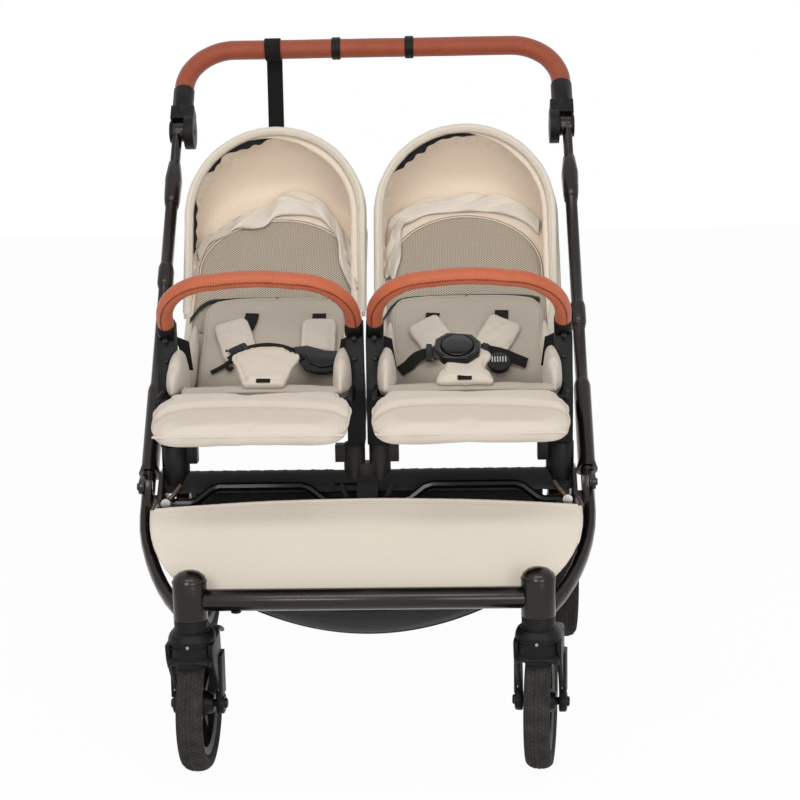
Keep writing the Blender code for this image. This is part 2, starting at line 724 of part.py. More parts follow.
def adapter(name, places, mats):
    """Docking sockets standing on the seat cross bar; places give (x, radius, way to the clip)."""
    height = DOCK_TOP_Z - CROSSBAR_Z
    pieces = []
    bar = rod(Vector((-BRACKET_IN_X, DOCK_BACK, CROSSBAR_Z)), Vector((BRACKET_IN_X, DOCK_BACK, CROSSBAR_Z)),
              CROSSBAR_R + CLEARANCE, 20)
    cuts = [bar]
    for x, radius, toward in places:
        foot = Vector((x, DOCK_BACK, CROSSBAR_Z))
        profile = [(0.0, radius), (height - 0.003, radius), (height, radius - 0.002)]
        pieces.append(turned(foot, Z_AXIS, profile, 18))
        clip_x = x + toward * (radius + CLIP_SIZE[0] * 0.3)
        pieces.append(box(Vector((clip_x, DOCK_BACK, DOCK_TOP_Z - CLIP_SIZE[2] * 0.62)), CLIP_SIZE))
        socket_foot = Vector((x, DOCK_BACK, DOCK_TOP_Z - SPIGOT_L - SPIGOT_PLAY))
        cuts.append(rod(socket_foot, socket_foot + Z_AXIS * (SPIGOT_L + 0.01), SPIGOT_R + SPIGOT_PLAY))
        if abs(x) + radius > BRACKET_IN_X:
            size = Vector((0.5, 1.5, 1.5)) * ADAPTER_H
            edge = Vector((math.copysign(BRACKET_IN_X - CLEARANCE, x), DOCK_BACK, BRACKET_TOP_Z + CLEARANCE))
            cuts.append(box(edge - Vector((toward * size.x, 0, size.z)) / 2, size))
    if len(places) > 1:
        bridge = Vector((places[0][0] * 2, INNER_ADAPTER_R * 1.6, CROSSBAR_R * 1.5))
        pieces.append(box(Vector((0, DOCK_BACK, CROSSBAR_Z + CROSSBAR_R)), bridge))
    node(name, "rig", mats["adapter"], pieces, cuts)


def panel_rear(height):
    """How far back the rear face of the front panel is at a height."""
    return PANEL_TOP_BACK - (PANEL_TOP_Z - height) * math.tan(PANEL_LEAN) + PANEL_T / 2 / math.cos(PANEL_LEAN)


def basket_panel(mats):
    """The fabric front of the basket: it stands on the front crossbar, between the side tubes."""
    up = Vector((0, math.sin(PANEL_LEAN), math.cos(PANEL_LEAN)))
    height = math.sqrt(PANEL_REACH ** 2 - PANEL_OFF ** 2) + PANEL_FOOT_DROP
    foot = Vector((0, PANEL_TOP_BACK, PANEL_TOP_Z)) - up * height
    right = [(PANEL_TAB_HALF, 0.0), (PANEL_TAB_HALF, PANEL_TAB_H)]
    side_height = height - PANEL_TAB_H - PANEL_TOP_RISE / 2
    for i in range(9):
        t = i / 8
        half = PANEL_FOOT_HALF + (PANEL_TOP_HALF - PANEL_FOOT_HALF) * (1 - (1 - t) ** PANEL_CURVE)
        right.append((half, PANEL_TAB_H + side_height * (0.03 + 0.97 * t)))
    corner = right[-1][1]
    for i in range(1, 4):
        across = 1 - i / 4
        right.append((PANEL_TOP_HALF * across, corner + PANEL_TOP_RISE * (1 - across * across)))
    outline = right + [(0.0, corner + PANEL_TOP_RISE)] + [(-a, b) for a, b in reversed(right)]
    node("basket_front_panel", "rig", mats["cream"],
         [slab(outline, foot, X_AXIS, up, -PANEL_T / 2, PANEL_T / 2)])


def basket_ring(back, deep, half, top, wall):
    """A cross section of the bin: straight sides, and a floor that hangs in an arc."""
    highest = top - BASKET_LIP * 0.4
    across = [half * i / 6 for i in range(-6, 7)]
    floor = [(x, min(deep + x * x / (2 * BASKET_FLOOR_R), highest) + wall) for x in across]
    brim = top + (BASKET_LIP if wall else 0.0)
    return [Vector((x, back, z)) for x, z in [(-half, brim)] + floor + [(half, brim)]]


def basket(mats):
    """An open bin of cloth: its floor sags across its width, and its front slants down and back."""
    front = panel_rear(BASKET_TOP_Z) + CLEARANCE
    bins = []
    for wall in (0.0, BASKET_T):
        rings = []
        for end, floor_end, end_top, way in ((front, BASKET_FLOOR_FRONT, BASKET_TOP_Z, 1),
                                             (BASKET_REAR_BACK, BASKET_FLOOR_REAR, BASKET_REAR_TOP_Z, -1)):
            shares = (0.0, 0.25, 0.6, 1.0)
            for share in shares if way > 0 else shares[::-1]:
                back = end + (floor_end - end) * share
                deep = BASKET_SAG_Z + (end_top - BASKET_LIP - BASKET_SAG_Z) * (1 - share) ** 1.8
                along = (back - front) / (BASKET_REAR_BACK - front)
                top = BASKET_TOP_Z + (BASKET_REAR_TOP_Z - BASKET_TOP_Z) * along
                half = BASKET_W / 2 - BASKET_LIP * 0.5 * (1 - share) ** 3
                rings.append(basket_ring(back + wall * way, deep, half - wall, top, wall))
        bins.append(loft(rings))
    node("basket", "rig", mats["black_fabric"], bins[:1], bins[1:])


# Rear frame

def rear_leg(side_name, side, mats):
    pivot = Vector((side * LEG_X, LEG_BACK, LEG_Z))
    axle = Vector((side * LEG_X, REAR_AXLE_BACK, REAR_WHEEL_R))
    tube = sweep([pivot, axle], stadium(LEG_W, LEG_D), X_AXIS)
    low, high = sorted((side * (LEG_X - LEG_W / 2), side * (LEG_X + LEG_W / 2)))
    pieces = [tube, disc(pivot.y, pivot.z, LEG_EYE_R, low, high),
              disc(axle.y, axle.z, AXLE_TUBE_R + LEG_FOOT_WALL, low, high)]
    cuts = [disc(pivot.y, pivot.z, HINGE_PIN_R + AXLE_PLAY, low - 0.01, high + 0.01, 12),
            disc(axle.y, axle.z, AXLE_TUBE_R + CLEARANCE, low - 0.01, high + 0.01, 16)]
    node("rear_leg_" + side_name, "rear_frame", mats["frame"], pieces, cuts)


def rear_axle(mats):
    centre = Vector((0, REAR_AXLE_BACK, REAR_WHEEL_R))
    half = AXLE_END_X
    pin_end = REAR_WHEEL_X + REAR_TYRE_W / 2 + HUB_OVERHANG + 0.002
    profile = [(-pin_end, HUB_PIN_R), (-half, HUB_PIN_R), (-half, AXLE_TUBE_R),
               (half, AXLE_TUBE_R), (half, HUB_PIN_R), (pin_end, HUB_PIN_R)]
    pieces = [turned(centre, X_AXIS, profile, 16)]
    for side in (LEFT, RIGHT):
        x = side * (BRAKE_W / 2 + BRAKE_LUG_GAP)
        low, high = sorted((x, x + side * BRAKE_LUG_T))
        end = centre.y + BRAKE_ARM + BRAKE_LUG_END
        middle = centre.z + BRAKE_RISE
        outline = [(centre.y, centre.z - BRAKE_LUG_H / 2), (end, middle - BRAKE_LUG_H / 2),
                   (end, middle + BRAKE_LUG_H / 2), (centre.y, centre.z + BRAKE_LUG_H / 2)]
        pieces.append(prism(outline, low, high))
        low, high = sorted((x + side * BRAKE_LUG_T / 2, side * (BRAKE_W / 2 - BRAKE_PIN_IN)))
        pieces.append(disc(centre.y + BRAKE_ARM, BRAKE_PIVOT_Z, BRAKE_PIN_R, low, high, 12))
    node("rear_axle", "rear_frame", mats["frame"], pieces)


def brake_pedal(mats):
    y = REAR_AXLE_BACK + BRAKE_ARM
    z = BRAKE_PIVOT_Z
    frame = joint_frame("brake", Vector((0, y, z)), "rear_frame")
    outline = [(y - 0.006, z - 0.006), (y + BRAKE_L, z + 0.006), (y + BRAKE_L + 0.003, z + 0.006 + BRAKE_T),
               (y + 0.004, z + 0.008), (y - 0.006, z + 0.006)]
    half = BRAKE_W / 2
    deep = BRAKE_PIN_IN * 2
    bore = disc(y, z, BRAKE_PIN_R + AXLE_PLAY, -half - deep, -half + deep, 12)
    other = disc(y, z, BRAKE_PIN_R + AXLE_PLAY, half - deep, half + deep, 12)
    node("brake_pedal", frame, mats["brake"], [prism(outline, -half, half)], [bore, other])


def rear_wheel(side_name, side, mats):
    frame = joint_frame("rear_wheel_" + side_name,
                        Vector((side * REAR_WHEEL_X, REAR_AXLE_BACK, REAR_WHEEL_R)),
                        "rear_frame")
    wheel(("rear_tyre_" + side_name, "rear_rim_" + side_name), frame,
          REAR_WHEEL_R, REAR_TYRE_W, REAR_TYRE_H, HUB_PIN_R, mats)


# Push frame, height stem and handle

def push_tube(side_name, side, mats):
    """The lower push tube with its lock sleeve, trigger collar and height collar."""
    def along(start, end, section, extra=()):
        stops = [start, *extra, end]
        return sweep([push_point(s, side * SIDE_X) for s in stops], section, X_AXIS)

    def flared(stops):
        rings = []
        for s, width, depth in stops:
            centre = push_point(s, side * SIDE_X)
            rings.append([centre + X_AXIS * a + PUSH_NORMAL * b for a, b in stadium(width, depth, 5)])
        return loft(rings)

    top = PUSH_TOP + COLLAR_L
    pieces = [along(CLEARANCE, top - 0.004, stadium(TUBE_W, TUBE_D))]
    flare_end = SLEEVE_START + FLARE_L
    pieces.append(flared([(SLEEVE_START, FLARE_W, FLARE_D), (flare_end, SLEEVE_W, SLEEVE_D),
                          (SLEEVE_START + SLEEVE_L - 0.01, SLEEVE_W, SLEEVE_D),
                          (SLEEVE_START + SLEEVE_L, TUBE_W + 0.002, TUBE_D + 0.002)]))
    pieces.append(flared([(PUSH_TOP, TUBE_W + 0.003, TUBE_D + 0.003),
                          (PUSH_TOP + 0.012, COLLAR_W * 0.9, COLLAR_D * 0.95),
                          (PUSH_TOP + COLLAR_L * 0.62, COLLAR_W, COLLAR_D),
                          (top, TUBE_W + 0.001, TUBE_D + 0.001)]))
    start = TRIGGER_START[side_name]
    pieces.append(flared([(start, TUBE_W + 0.002, TUBE_D + 0.002), (start + 0.008, TRIGGER_W, TRIGGER_D),
                          (start + TRIGGER_L - 0.008, TRIGGER_W, TRIGGER_D),
                          (start + TRIGGER_L, TUBE_W + 0.002, TUBE_D + 0.002)]))
    hinge = push_point(0.0, offset=HINGE_OFFSET)
    outer = SIDE_X + TUBE_W / 2
    high = push_point(HINGE_LUG_LENGTH, offset=TUBE_D * 0.3)
    shoulder = push_point(HINGE_LUG_LENGTH * 0.6, offset=HINGE_OFFSET)
    outline = [(shoulder.y, shoulder.z), (high.y, high.z)]
    base = push_point(CLEARANCE * 3, offset=TUBE_D * 0.3)
    outline.append((base.y, base.z))
    for i in range(7):
        angle = PUSH_ANGLE - math.pi / 2 - math.pi * i / 6
        outline.append((hinge.y + HINGE_LUG_R * math.cos(angle), hinge.z + HINGE_LUG_R * math.sin(angle)))
    pieces.append(prism(outline, side * (SIDE_X + CLEARANCE), side * outer))
    bore = disc(hinge.y, hinge.z, HINGE_PIN_R + AXLE_PLAY,
                side * (SIDE_X - 0.002), side * (outer + 0.002), 12)
    cavity_w = TUBE_W - 2 * TUBE_WALL
    cavity_d = TUBE_D - 2 * TUBE_WALL
    floor = top - STEM_INSIDE - HEIGHT_DOWN - CLEARANCE
    cavity = along(floor, top + 0.01, stadium(cavity_w, cavity_d))
    node("push_tube_" + side_name, "push_frame", mats["frame"], pieces, [bore, cavity])


def knuckle_s():
    """How far up the push line the handle's knuckle turns."""
    return PUSH_TOP + COLLAR_L + STEM_SHOWS + KNUCKLE_R


def stem(side_name, side, mats):
    """The height stem: a tube that slides in the push tube and ends in the knuckle's eye."""
    knuckle = push_point(knuckle_s())
    width = TUBE_W - 2 * TUBE_WALL - 2 * CLEARANCE
    depth = TUBE_D - 2 * TUBE_WALL - 2 * CLEARANCE
    low = PUSH_TOP + COLLAR_L - STEM_INSIDE
    points = [push_point(low, side * SIDE_X), push_point(knuckle_s(), side * SIDE_X)]
    eye_mid = SIDE_X - KNUCKLE_EYE_IN
    eye = [eye_mid - KNUCKLE_EYE_W / 2, eye_mid + KNUCKLE_EYE_W / 2]
    pieces = [sweep(points, stadium(width, depth), X_AXIS),
              disc(knuckle.y, knuckle.z, KNUCKLE_EYE_R, side * eye[0], side * eye[1], 16)]
    pin = KNUCKLE_W / 2 - KNUCKLE_EYE_IN
    mid = SIDE_X - KNUCKLE_IN
    pieces.append(disc(knuckle.y, knuckle.z, KNUCKLE_PIN_R, side * (mid - pin), side * (mid + pin), 12))
    node("height_stem_" + side_name, "height_stems", mats["frame"], pieces)


def handle_knuckle(side_name, side, mats):
    """The handle's end: a cuff on the grip tube, an inner dial and an outer cheek."""
    knuckle = push_point(knuckle_s())
    base = knuckle_s()
    eye_mid = SIDE_X - KNUCKLE_EYE_IN
    eye_in = eye_mid - KNUCKLE_EYE_W / 2 - KNUCKLE_PLAY
    eye_out = eye_mid + KNUCKLE_EYE_W / 2 + KNUCKLE_PLAY
    mid = SIDE_X - KNUCKLE_IN
    dial_in = mid - KNUCKLE_W / 2
    cheek_out = mid + KNUCKLE_W / 2
    pieces = [disc(knuckle.y, knuckle.z, KNUCKLE_R, side * dial_in, side * eye_in, 20)]
    pieces.append(disc(knuckle.y, knuckle.z, KNUCKLE_CHEEK_R, side * eye_out, side * cheek_out, 16))
    bridge_from = KNUCKLE_EYE_R + KNUCKLE_BRIDGE_PLAY
    bridge_to = GRIP_START - CUFF_L
    wide = KNUCKLE_BRIDGE_HALF
    slim = wide - KNUCKLE_BRIDGE_PLAY
    outline = []
    for s, offset in ((bridge_from, -wide), (bridge_from, wide), (bridge_to, wide), (bridge_to, -wide)):
        point = push_point(base + s, offset=offset)
        outline.append((point.y, point.z))
    pieces.append(prism(outline, side * (dial_in + 0.002), side * cheek_out))
    outline = []
    for s, offset in ((0.0, -slim), (0.0, slim), (bridge_to, slim), (bridge_to, -slim)):
        point = push_point(base + s, offset=offset)
        outline.append((point.y, point.z))
    pieces.append(prism(outline, side * (dial_in + 0.003), side * eye_in))
    pieces.append(prism(outline, side * eye_out, side * (cheek_out - 0.001)))
    cuff = [(bridge_to - 0.006, CUFF_R - 0.002), (bridge_to, CUFF_R),
            (GRIP_START - 0.002, CUFF_R), (GRIP_START, CUFF_R - 0.001)]
    pieces.append(turned(push_point(base, side * GRIP_X), PUSH_DIR, cuff, 14))
    cuts = [disc(knuckle.y, knuckle.z, KNUCKLE_PIN_R + AXLE_PLAY,
                 side * (mid - KNUCKLE_W), side * (mid + KNUCKLE_W), 12)]
    node("handle_knuckle_" + side_name, "handle", mats["knuckle"], pieces, cuts)


def grip(mats):
    """The padded handlebar with its two rings, and the strap that hangs from it."""
    base = push_point(knuckle_s())
    path = u_path(GRIP_X, GRIP_REACH, GRIP_BEND_R, GRIP_START + CLEARANCE, PUSH_DIR, base)
    pieces = [sweep(path, circle(GRIP_R, 12), PUSH_NORMAL)]
    bar = base + PUSH_DIR * GRIP_REACH
    for side in (LEFT, RIGHT):
        start = bar + X_AXIS * (side * RING_X - RING_W / 2)
        profile = [(0, GRIP_R - 0.002), (0.002, RING_R), (RING_W - 0.002, RING_R), (RING_W, GRIP_R - 0.002)]
        pieces.append(turned(start, X_AXIS, profile, 14))
    node("handle_grip", "handle", mats["tan"], pieces)
    inner = GRIP_R + STRAP_PLAY
    outer = inner + STRAP_T
    half = STRAP_W / 2
    centre = bar + X_AXIS * STRAP_X
    wrap = hoop(centre, [(inner, -half), (outer, -half), (outer, half), (inner, half)], 16)
    back = centre.y + inner
    tail = prism([(back, centre.z), (back + STRAP_T * 2, centre.z),
                  (back + STRAP_T * 2, centre.z - STRAP_L), (back, centre.z - STRAP_L)],
                 centre.x - half, centre.x + half)
    node("handle_strap", "handle", mats["webbing"], [wrap, tail])


# Seat units, each built round its own centre line

def seat_axes(centre_x):
    """The middle of the seat's front edge, the way back along the seat, its normal and length."""
    origin = Vector((centre_x, SEAT_FRONT_BACK, SEAT_FRONT_Z))
    reach = Vector((centre_x, SEAT_REAR_BACK, SEAT_REAR_Z)) - origin
    along = reach.normalized()
    return origin, along, X_AXIS.cross(along), reach.length


def seat_frame(side_name, centre_x, mats):
    """The seat's rigid frame: two arms on the docking spigots, the pan and the recline ears."""
    dock_top = DOCK_TOP_Z + CLEARANCE
    block = Vector((0, BLOCK_BACK, BLOCK_Z))
    half_d = BLOCK_D / 2
    crown = [block + BAR_NORMAL * half_d, block - BAR_NORMAL * half_d]
    rear = SEAT_REAR_BACK - ARM_FLARE / 2
    front = BLOCK_BACK - half_d
    foot_front = DOCK_BACK - ARM_FOOT_BACK + ARM_FLARE
    foot_rear = DOCK_BACK + ARM_FOOT_BACK - ARM_FLARE
    waist = BLOCK_Z - ARM_WAIST_DROP
    outline = [(crown[0].y, crown[0].z), (crown[1].y, crown[1].z), (front + ARM_FLARE / 2, waist),
               (front - ARM_FLARE * 1.5, BLOCK_Z - ARM_BELLY_DROP),
               (front - ARM_FLARE, BLOCK_Z - ARM_HIP_DROP),
               (foot_front - ARM_FLARE / 2, dock_top + ARM_FOOT_H),
               (foot_front, dock_top), (foot_rear, dock_top),
               (foot_rear + ARM_FLARE, dock_top + ARM_FOOT_H),
               (rear, BACK_PIVOT_Z - BACK_EAR_R + ARM_FLARE / 2),
               (rear, BACK_PIVOT_Z + BACK_EAR_R * 2), (BLOCK_BACK + half_d + ARM_FLARE / 2, waist)]
    outer = ARM_OUT
    inner = ARM_OUT - ARM_T
    pieces = []
    cuts = []
    for hand in (LEFT, RIGHT):
        pieces.append(prism(outline, centre_x + hand * inner, centre_x + hand * outer))
        ear = [(rear - BACK_EAR_REACH, BACK_PIVOT_Z - BACK_EAR_R * 0.67)]
        for angle in (-90, -30, 30, 90):
            angle = math.radians(angle)
            ear.append((BACK_PIVOT_BACK + BACK_EAR_R * math.cos(angle),
                        BACK_PIVOT_Z + BACK_EAR_R * math.sin(angle)))
        ear.append((rear - BACK_EAR_REACH, BACK_PIVOT_Z + BACK_EAR_ROOT))
        pieces.append(prism(ear, centre_x + hand * (outer - EAR_T), centre_x + hand * (outer - 0.001)))
        cuts.append(disc(BACK_PIVOT_BACK, BACK_PIVOT_Z, BACK_PIVOT_R + AXLE_PLAY,
                         centre_x + hand * (outer - EAR_T - 0.01), centre_x + hand * (outer + 0.01), 14))
        spigot_x = OUTER_ADAPTER_X if hand * centre_x > 0 else INNER_ADAPTER_X
        spigot_x = math.copysign(spigot_x, centre_x)
        start = Vector((spigot_x, DOCK_BACK, dock_top - SPIGOT_L))
        pieces.append(rod(start, start + Z_AXIS * (SPIGOT_L + 0.01), SPIGOT_R, 14))
        socket = block + X_AXIS * (centre_x + hand * BAR_HALF)
        cuts.append(rod(socket - BAR_DIR * (TONGUE_L + 0.001), socket + BAR_DIR * 0.01,
                        TONGUE_R + CLEARANCE, 14))
        root = front + ARM_FLARE * 1.5
        ear = [(root, CALF_PIVOT_Z + CALF_EAR_R * 0.4), (root, CALF_PIVOT_Z - CALF_EAR_R * 1.6)]
        for i in range(7):
            angle = math.radians(-100 - 160 * i / 6)
            ear.append((CALF_PIVOT_BACK + CALF_EAR_R * math.cos(angle),
                        CALF_PIVOT_Z + CALF_EAR_R * math.sin(angle)))
        low, high = centre_x + hand * CALF_EAR_X, centre_x + hand * (CALF_EAR_X + CALF_EAR_T)
        pieces.append(prism(ear, low, high))
        pieces.append(disc(CALF_PIVOT_BACK, CALF_PIVOT_Z, CALF_PIN_R,
                           centre_x + hand * CALF_PIN_IN, high, 12))
    origin, along, up, length = seat_axes(centre_x)
    pan = []
    for reach, drop in ((PAN_FRONT_INSET, 0), (length, 0), (length, PAN_T), (PAN_FRONT_INSET, PAN_T)):
        corner = origin + along * reach - up * (SEAT_T + CLEARANCE + drop)
        pan.append((corner.y, corner.z))
    pieces.append(prism(pan, centre_x - inner - 0.002, centre_x + inner + 0.002))
    node("seat_frame_" + side_name, "seat_" + side_name, mats["shell"], pieces, cuts)


def seat_cover(side_name, centre_x, mats):
    """The padded seat with its two side bolsters."""
    origin, along, up, length = seat_axes(centre_x)
    low = -SEAT_T
    half = SEAT_HALF
    wall = BOLSTER_T
    u_shape = [(half, low), (half, BOLSTER_H * 0.8),
               (half - wall * 0.3, BOLSTER_H), (half - wall * 0.7, BOLSTER_H * 0.95),
               (half - wall, 0.010), (half - wall * 1.5, 0.0)]
    outline = u_shape + [(-a, b) for a, b in reversed(u_shape)]
    rings = []
    for s, tall in ((0.0, 0.30), (0.012, 0.42), (0.045, 0.80), (0.085, 1.0), (length - 0.004, 1.0)):
        ring = []
        for a, b in outline:
            height = b if b <= 0 else b * tall
            ring.append(origin + along * s + X_AXIS * a + up * height)
        rings.append(ring)
    node("seat_cover_" + side_name, "seat_" + side_name, mats["liner"], [loft(rings)])


def harness(side_name, centre_x, mats):
    """The crotch pad leaning on the seat, the buckle on it and the buckle's button.

    On the right seat the buckle lies on the pad. On the left seat the open buckle is turned over and
    hangs behind the pad."""
    origin, along, up, length = seat_axes(centre_x)
    lean = along * math.cos(CROTCH_LEAN) + up * math.sin(CROTCH_LEAN)
    lift = X_AXIS.cross(lean)
    foot = origin + along * (CROTCH_BACK - SEAT_FRONT_BACK) + up * CLEARANCE + X_AXIS * CROTCH_X[side_name]
    foot_half = CROTCH_FOOT_W / 2
    half = CROTCH_W / 2
    right = [(foot_half, 0.0), (half, CROTCH_L * 0.70), (half * 0.97, CROTCH_L * 0.76),
             (half * 0.60, CROTCH_L * 0.93), (half * 0.25, CROTCH_L)]
    node("crotch_pad_" + side_name, "seat_" + side_name, mats["cream"],
         [slab(right + [(-a, b) for a, b in reversed(right)], foot, X_AXIS, lean, 0.0, CROTCH_T)])
    on_top = side_name == "right"
    face = lift if on_top else -lift
    rest = CROTCH_T + CLEARANCE if on_top else -CLEARANCE
    centre = foot + X_AXIS * BUCKLE_X[side_name] + lean * BUCKLE_UP + lift * rest
    turn = math.radians(BUCKLE_TURN[side_name])
    across = X_AXIS * math.cos(turn) + lean * math.sin(turn)
    wide = BUCKLE_W / 2
    tall = BUCKLE_H / 2
    octagon = [(wide, tall * 0.42), (wide * 0.55, tall), (-wide * 0.55, tall), (-wide, tall * 0.42),
               (-wide, -tall * 0.42), (-wide * 0.55, -tall), (wide * 0.55, -tall), (wide, -tall * 0.42)]
    body = slab(octagon, centre, across, face.cross(across), 0.0, BUCKLE_T)
    recess_floor = BUCKLE_T - BUTTON_DEPTH
    recess_r = BUTTON_R + CLEARANCE * 2
    recess = turned(centre, face, [(recess_floor, recess_r), (BUCKLE_T * 1.5, recess_r)], 24)
    node("buckle_" + side_name, "seat_" + side_name, mats["gloss"], [body], [recess])
    frame = joint_frame("button_" + side_name, centre + face * BUCKLE_T, "seat_" + side_name)
    start = recess_floor + BUTTON_PROUD + CLEARANCE
    top = BUCKLE_T + BUTTON_PROUD
    profile = [(start, BUTTON_R), (top - BUTTON_PROUD / 2, BUTTON_R), (top, BUTTON_R * 0.9)]
    node("buckle_button_" + side_name, frame, mats["button"], [turned(centre, face, profile, 24)])


def calf_rest(side_name, centre_x, mats):
    """The padded calf rest, bored for the two pins on which it tilts."""
    pivot = Vector((centre_x, CALF_PIVOT_BACK, CALF_PIVOT_Z))
    frame = joint_frame("calf_" + side_name, pivot, "seat_" + side_name)
    forward = Vector((0, -math.cos(CALF_SLOPE), -math.sin(CALF_SLOPE)))
    outline = rounded_box(-CALF_HALF, CALF_HALF, -CALF_PIVOT_REAR, CALF_L, 0.030)
    pad = cushion(outline, pivot, X_AXIS, forward, -CALF_T / 2, CALF_T / 2, 0.010)
    cuts = []
    for hand in (LEFT, RIGHT):
        bore_in = centre_x + hand * (CALF_PIN_IN - AXLE_PLAY)
        cuts.append(disc(pivot.y, pivot.z, CALF_PIN_R + AXLE_PLAY, bore_in, centre_x + hand * CALF_EAR_X, 14))
        notch_in = centre_x + hand * (CALF_EAR_X - AXLE_PLAY)
        cuts.append(disc(pivot.y, pivot.z, CALF_NOTCH_R, notch_in, centre_x + hand * (CALF_HALF + 0.01), 20))
    node("calf_rest_" + side_name, frame, mats["cream"], [pad], cuts)


def hood_outline(half, leg, start, arc=12):
    """An arch of (across, radius) points: up one leg, round a half circle and down the other."""
    points = [(half, start), (half, leg * 0.5), (half, leg)]
    for i in range(1, arc):
        angle = math.pi * i / arc
        points.append((half * math.cos(angle), leg + half * math.sin(angle)))
    points += [(-half, leg), (-half, leg * 0.5), (-half, start)]
    return points


def hood_shell(pivot, stops, outer_half, start):
    """Sweep an arched band round the hood's hinge line; stops give (angle, extra thickness)."""
    outer = hood_outline(outer_half, HOOD_LEG, start)
    inner = hood_outline(outer_half - HOOD_T, HOOD_LEG, start)
    rings = []
    for angle, extra in stops:
        out = Vector((0, math.cos(angle), math.sin(angle)))
        thick = hood_outline(outer_half + extra, HOOD_LEG, start) if extra else outer
        rings.append([pivot + X_AXIS * a + out * b for a, b in thick + inner[::-1]])
    return loft(rings)


def backrest(side_name, centre_x, mats):
    """The reclining back: panel, pad, the fixed rear of the hood and the folding front of it."""
    pivot = Vector((centre_x, BACK_PIVOT_BACK, BACK_PIVOT_Z))
    frame = joint_frame("backrest_" + side_name, pivot, "seat_" + side_name)
    rear_half = HOOD_HALF - HOOD_T - HOOD_GAP
    panel_half = rear_half - HOOD_T - HOOD_GAP
    arch = [(a, b + HOOD_PIVOT_T) for a, b in hood_outline(panel_half, HOOD_LEG, -0.060)]
    foot_half = ARM_OUT - ARM_T - 0.004
    outline = [(foot_half, -0.004), (foot_half, 0.090)] + arch + [(-foot_half, 0.090), (-foot_half, -0.004)]
    panel = slab(outline, pivot, X_AXIS, BACK_DIR, -BACK_T / 2, BACK_T / 2)
    pin_out = ARM_OUT - 0.0005
    pieces = [panel, disc(pivot.y, pivot.z, BACK_PIVOT_R, centre_x - pin_out, centre_x + pin_out, 14)]
    for hand in (LEFT, RIGHT):
        hood = pivot + BACK_DIR * HOOD_PIVOT_T
        pieces.append(disc(hood.y, hood.z, HOOD_PIN_R, centre_x + hand * (panel_half - 0.004),
                           centre_x + hand * (HOOD_HALF + 0.001), 12))
    node("backrest_panel_" + side_name, frame, mats["mesh"], pieces)
    outline = rounded_box(-PAD_HALF, PAD_HALF, PAD_START, PAD_START + PAD_L, 0.035)
    low = BACK_T / 2 + CLEARANCE
    node("backrest_pad_" + side_name, frame, mats["liner"],
         [cushion(outline, pivot, X_AXIS, BACK_DIR, low, low + PAD_T, 0.008)])
    rest = low + PAD_T + CLEARANCE
    for hand_name, x, degrees in zip(("left", "right"), SHOULDER_X[side_name], SHOULDER_TURN[side_name]):
        turn = math.radians(degrees)
        u = X_AXIS * math.cos(turn) + BACK_DIR * math.sin(turn)
        v = BACK_DIR * math.cos(turn) - X_AXIS * math.sin(turn)
        outline = rounded_box(-SHOULDER_W / 2, SHOULDER_W / 2, -SHOULDER_L / 2, SHOULDER_L / 2, 0.010)
        middle = pivot + X_AXIS * x + BACK_DIR * SHOULDER_MID
        node("shoulder_pad_" + hand_name + "_" + side_name, frame, mats["cream"],
             [cushion(outline, middle, u, v, rest, rest + SHOULDER_T, 0.005)])
    hood = pivot + BACK_DIR * HOOD_PIVOT_T
    start = HOOD_PIN_R + 0.0006
    span = HOOD_REAR_TO - HOOD_REAR_FROM
    stops = [(HOOD_REAR_FROM + span * i / 4, 0.0) for i in range(5)]
    node("hood_rear_" + side_name, frame, mats["cream"], [hood_shell(hood, stops, rear_half, start)])
    front = joint_frame("hood_" + side_name, hood, frame)
    rim_from = HOOD_RIM_ANGLE - HOOD_RIM_W
    span = rim_from - HOOD_FRONT_FROM
    stops = [(HOOD_FRONT_FROM + span * i / 3, 0.0) for i in range(4)]
    stops += [(rim_from + HOOD_RIM_W * 0.25, HOOD_RIM_OUT), (HOOD_RIM_ANGLE, HOOD_RIM_OUT * 0.8)]
    node("hood_front_" + side_name, front, mats["cream"], [hood_shell(hood, stops, HOOD_HALF, start)])


def bumper_bar(side_name, centre_x, mats):
    """The padded bar in front of the child, with two tongues that plug into the seat arms."""
    origin = Vector((centre_x, BLOCK_BACK, BLOCK_Z))
    frame = joint_frame("bumper_" + side_name, origin, "seat_" + side_name)
    path = u_path(BAR_HALF, BAR_REACH, BAR_BEND_R, CLEARANCE, BAR_DIR, origin)
    pieces = [sweep(path, circle(BAR_R, 10), BAR_NORMAL)]
    for hand in (LEFT, RIGHT):
        foot = origin + X_AXIS * hand * BAR_HALF
        pieces.append(rod(foot - BAR_DIR * TONGUE_L, foot + BAR_DIR * 0.02, TONGUE_R, 12))
    node("bumper_bar_" + side_name, frame, mats["tan_bright"], pieces)


def seat_unit(side_name, side, mats):
    centre_x = side * SEAT_X
    joint_frame("seat_" + side_name, Vector((centre_x, DOCK_BACK, DOCK_TOP_Z)), "rig")
    seat_frame(side_name, centre_x, mats)
    seat_cover(side_name, centre_x, mats)
    harness(side_name, centre_x, mats)
    calf_rest(side_name, centre_x, mats)
    backrest(side_name, centre_x, mats)
    bumper_bar(side_name, centre_x, mats)


def centre_model():
    """Slide the rig so that the middle of the model's length is at the origin."""
    bpy.context.view_layer.update()
    backs = []
    for piece in bpy.data.objects:
        if piece.type == "MESH":
            backs += [(piece.matrix_world @ vertex.co).y for vertex in piece.data.vertices]
    FRAMES["rig"][0].location.y = -(min(backs) + max(backs)) / 2


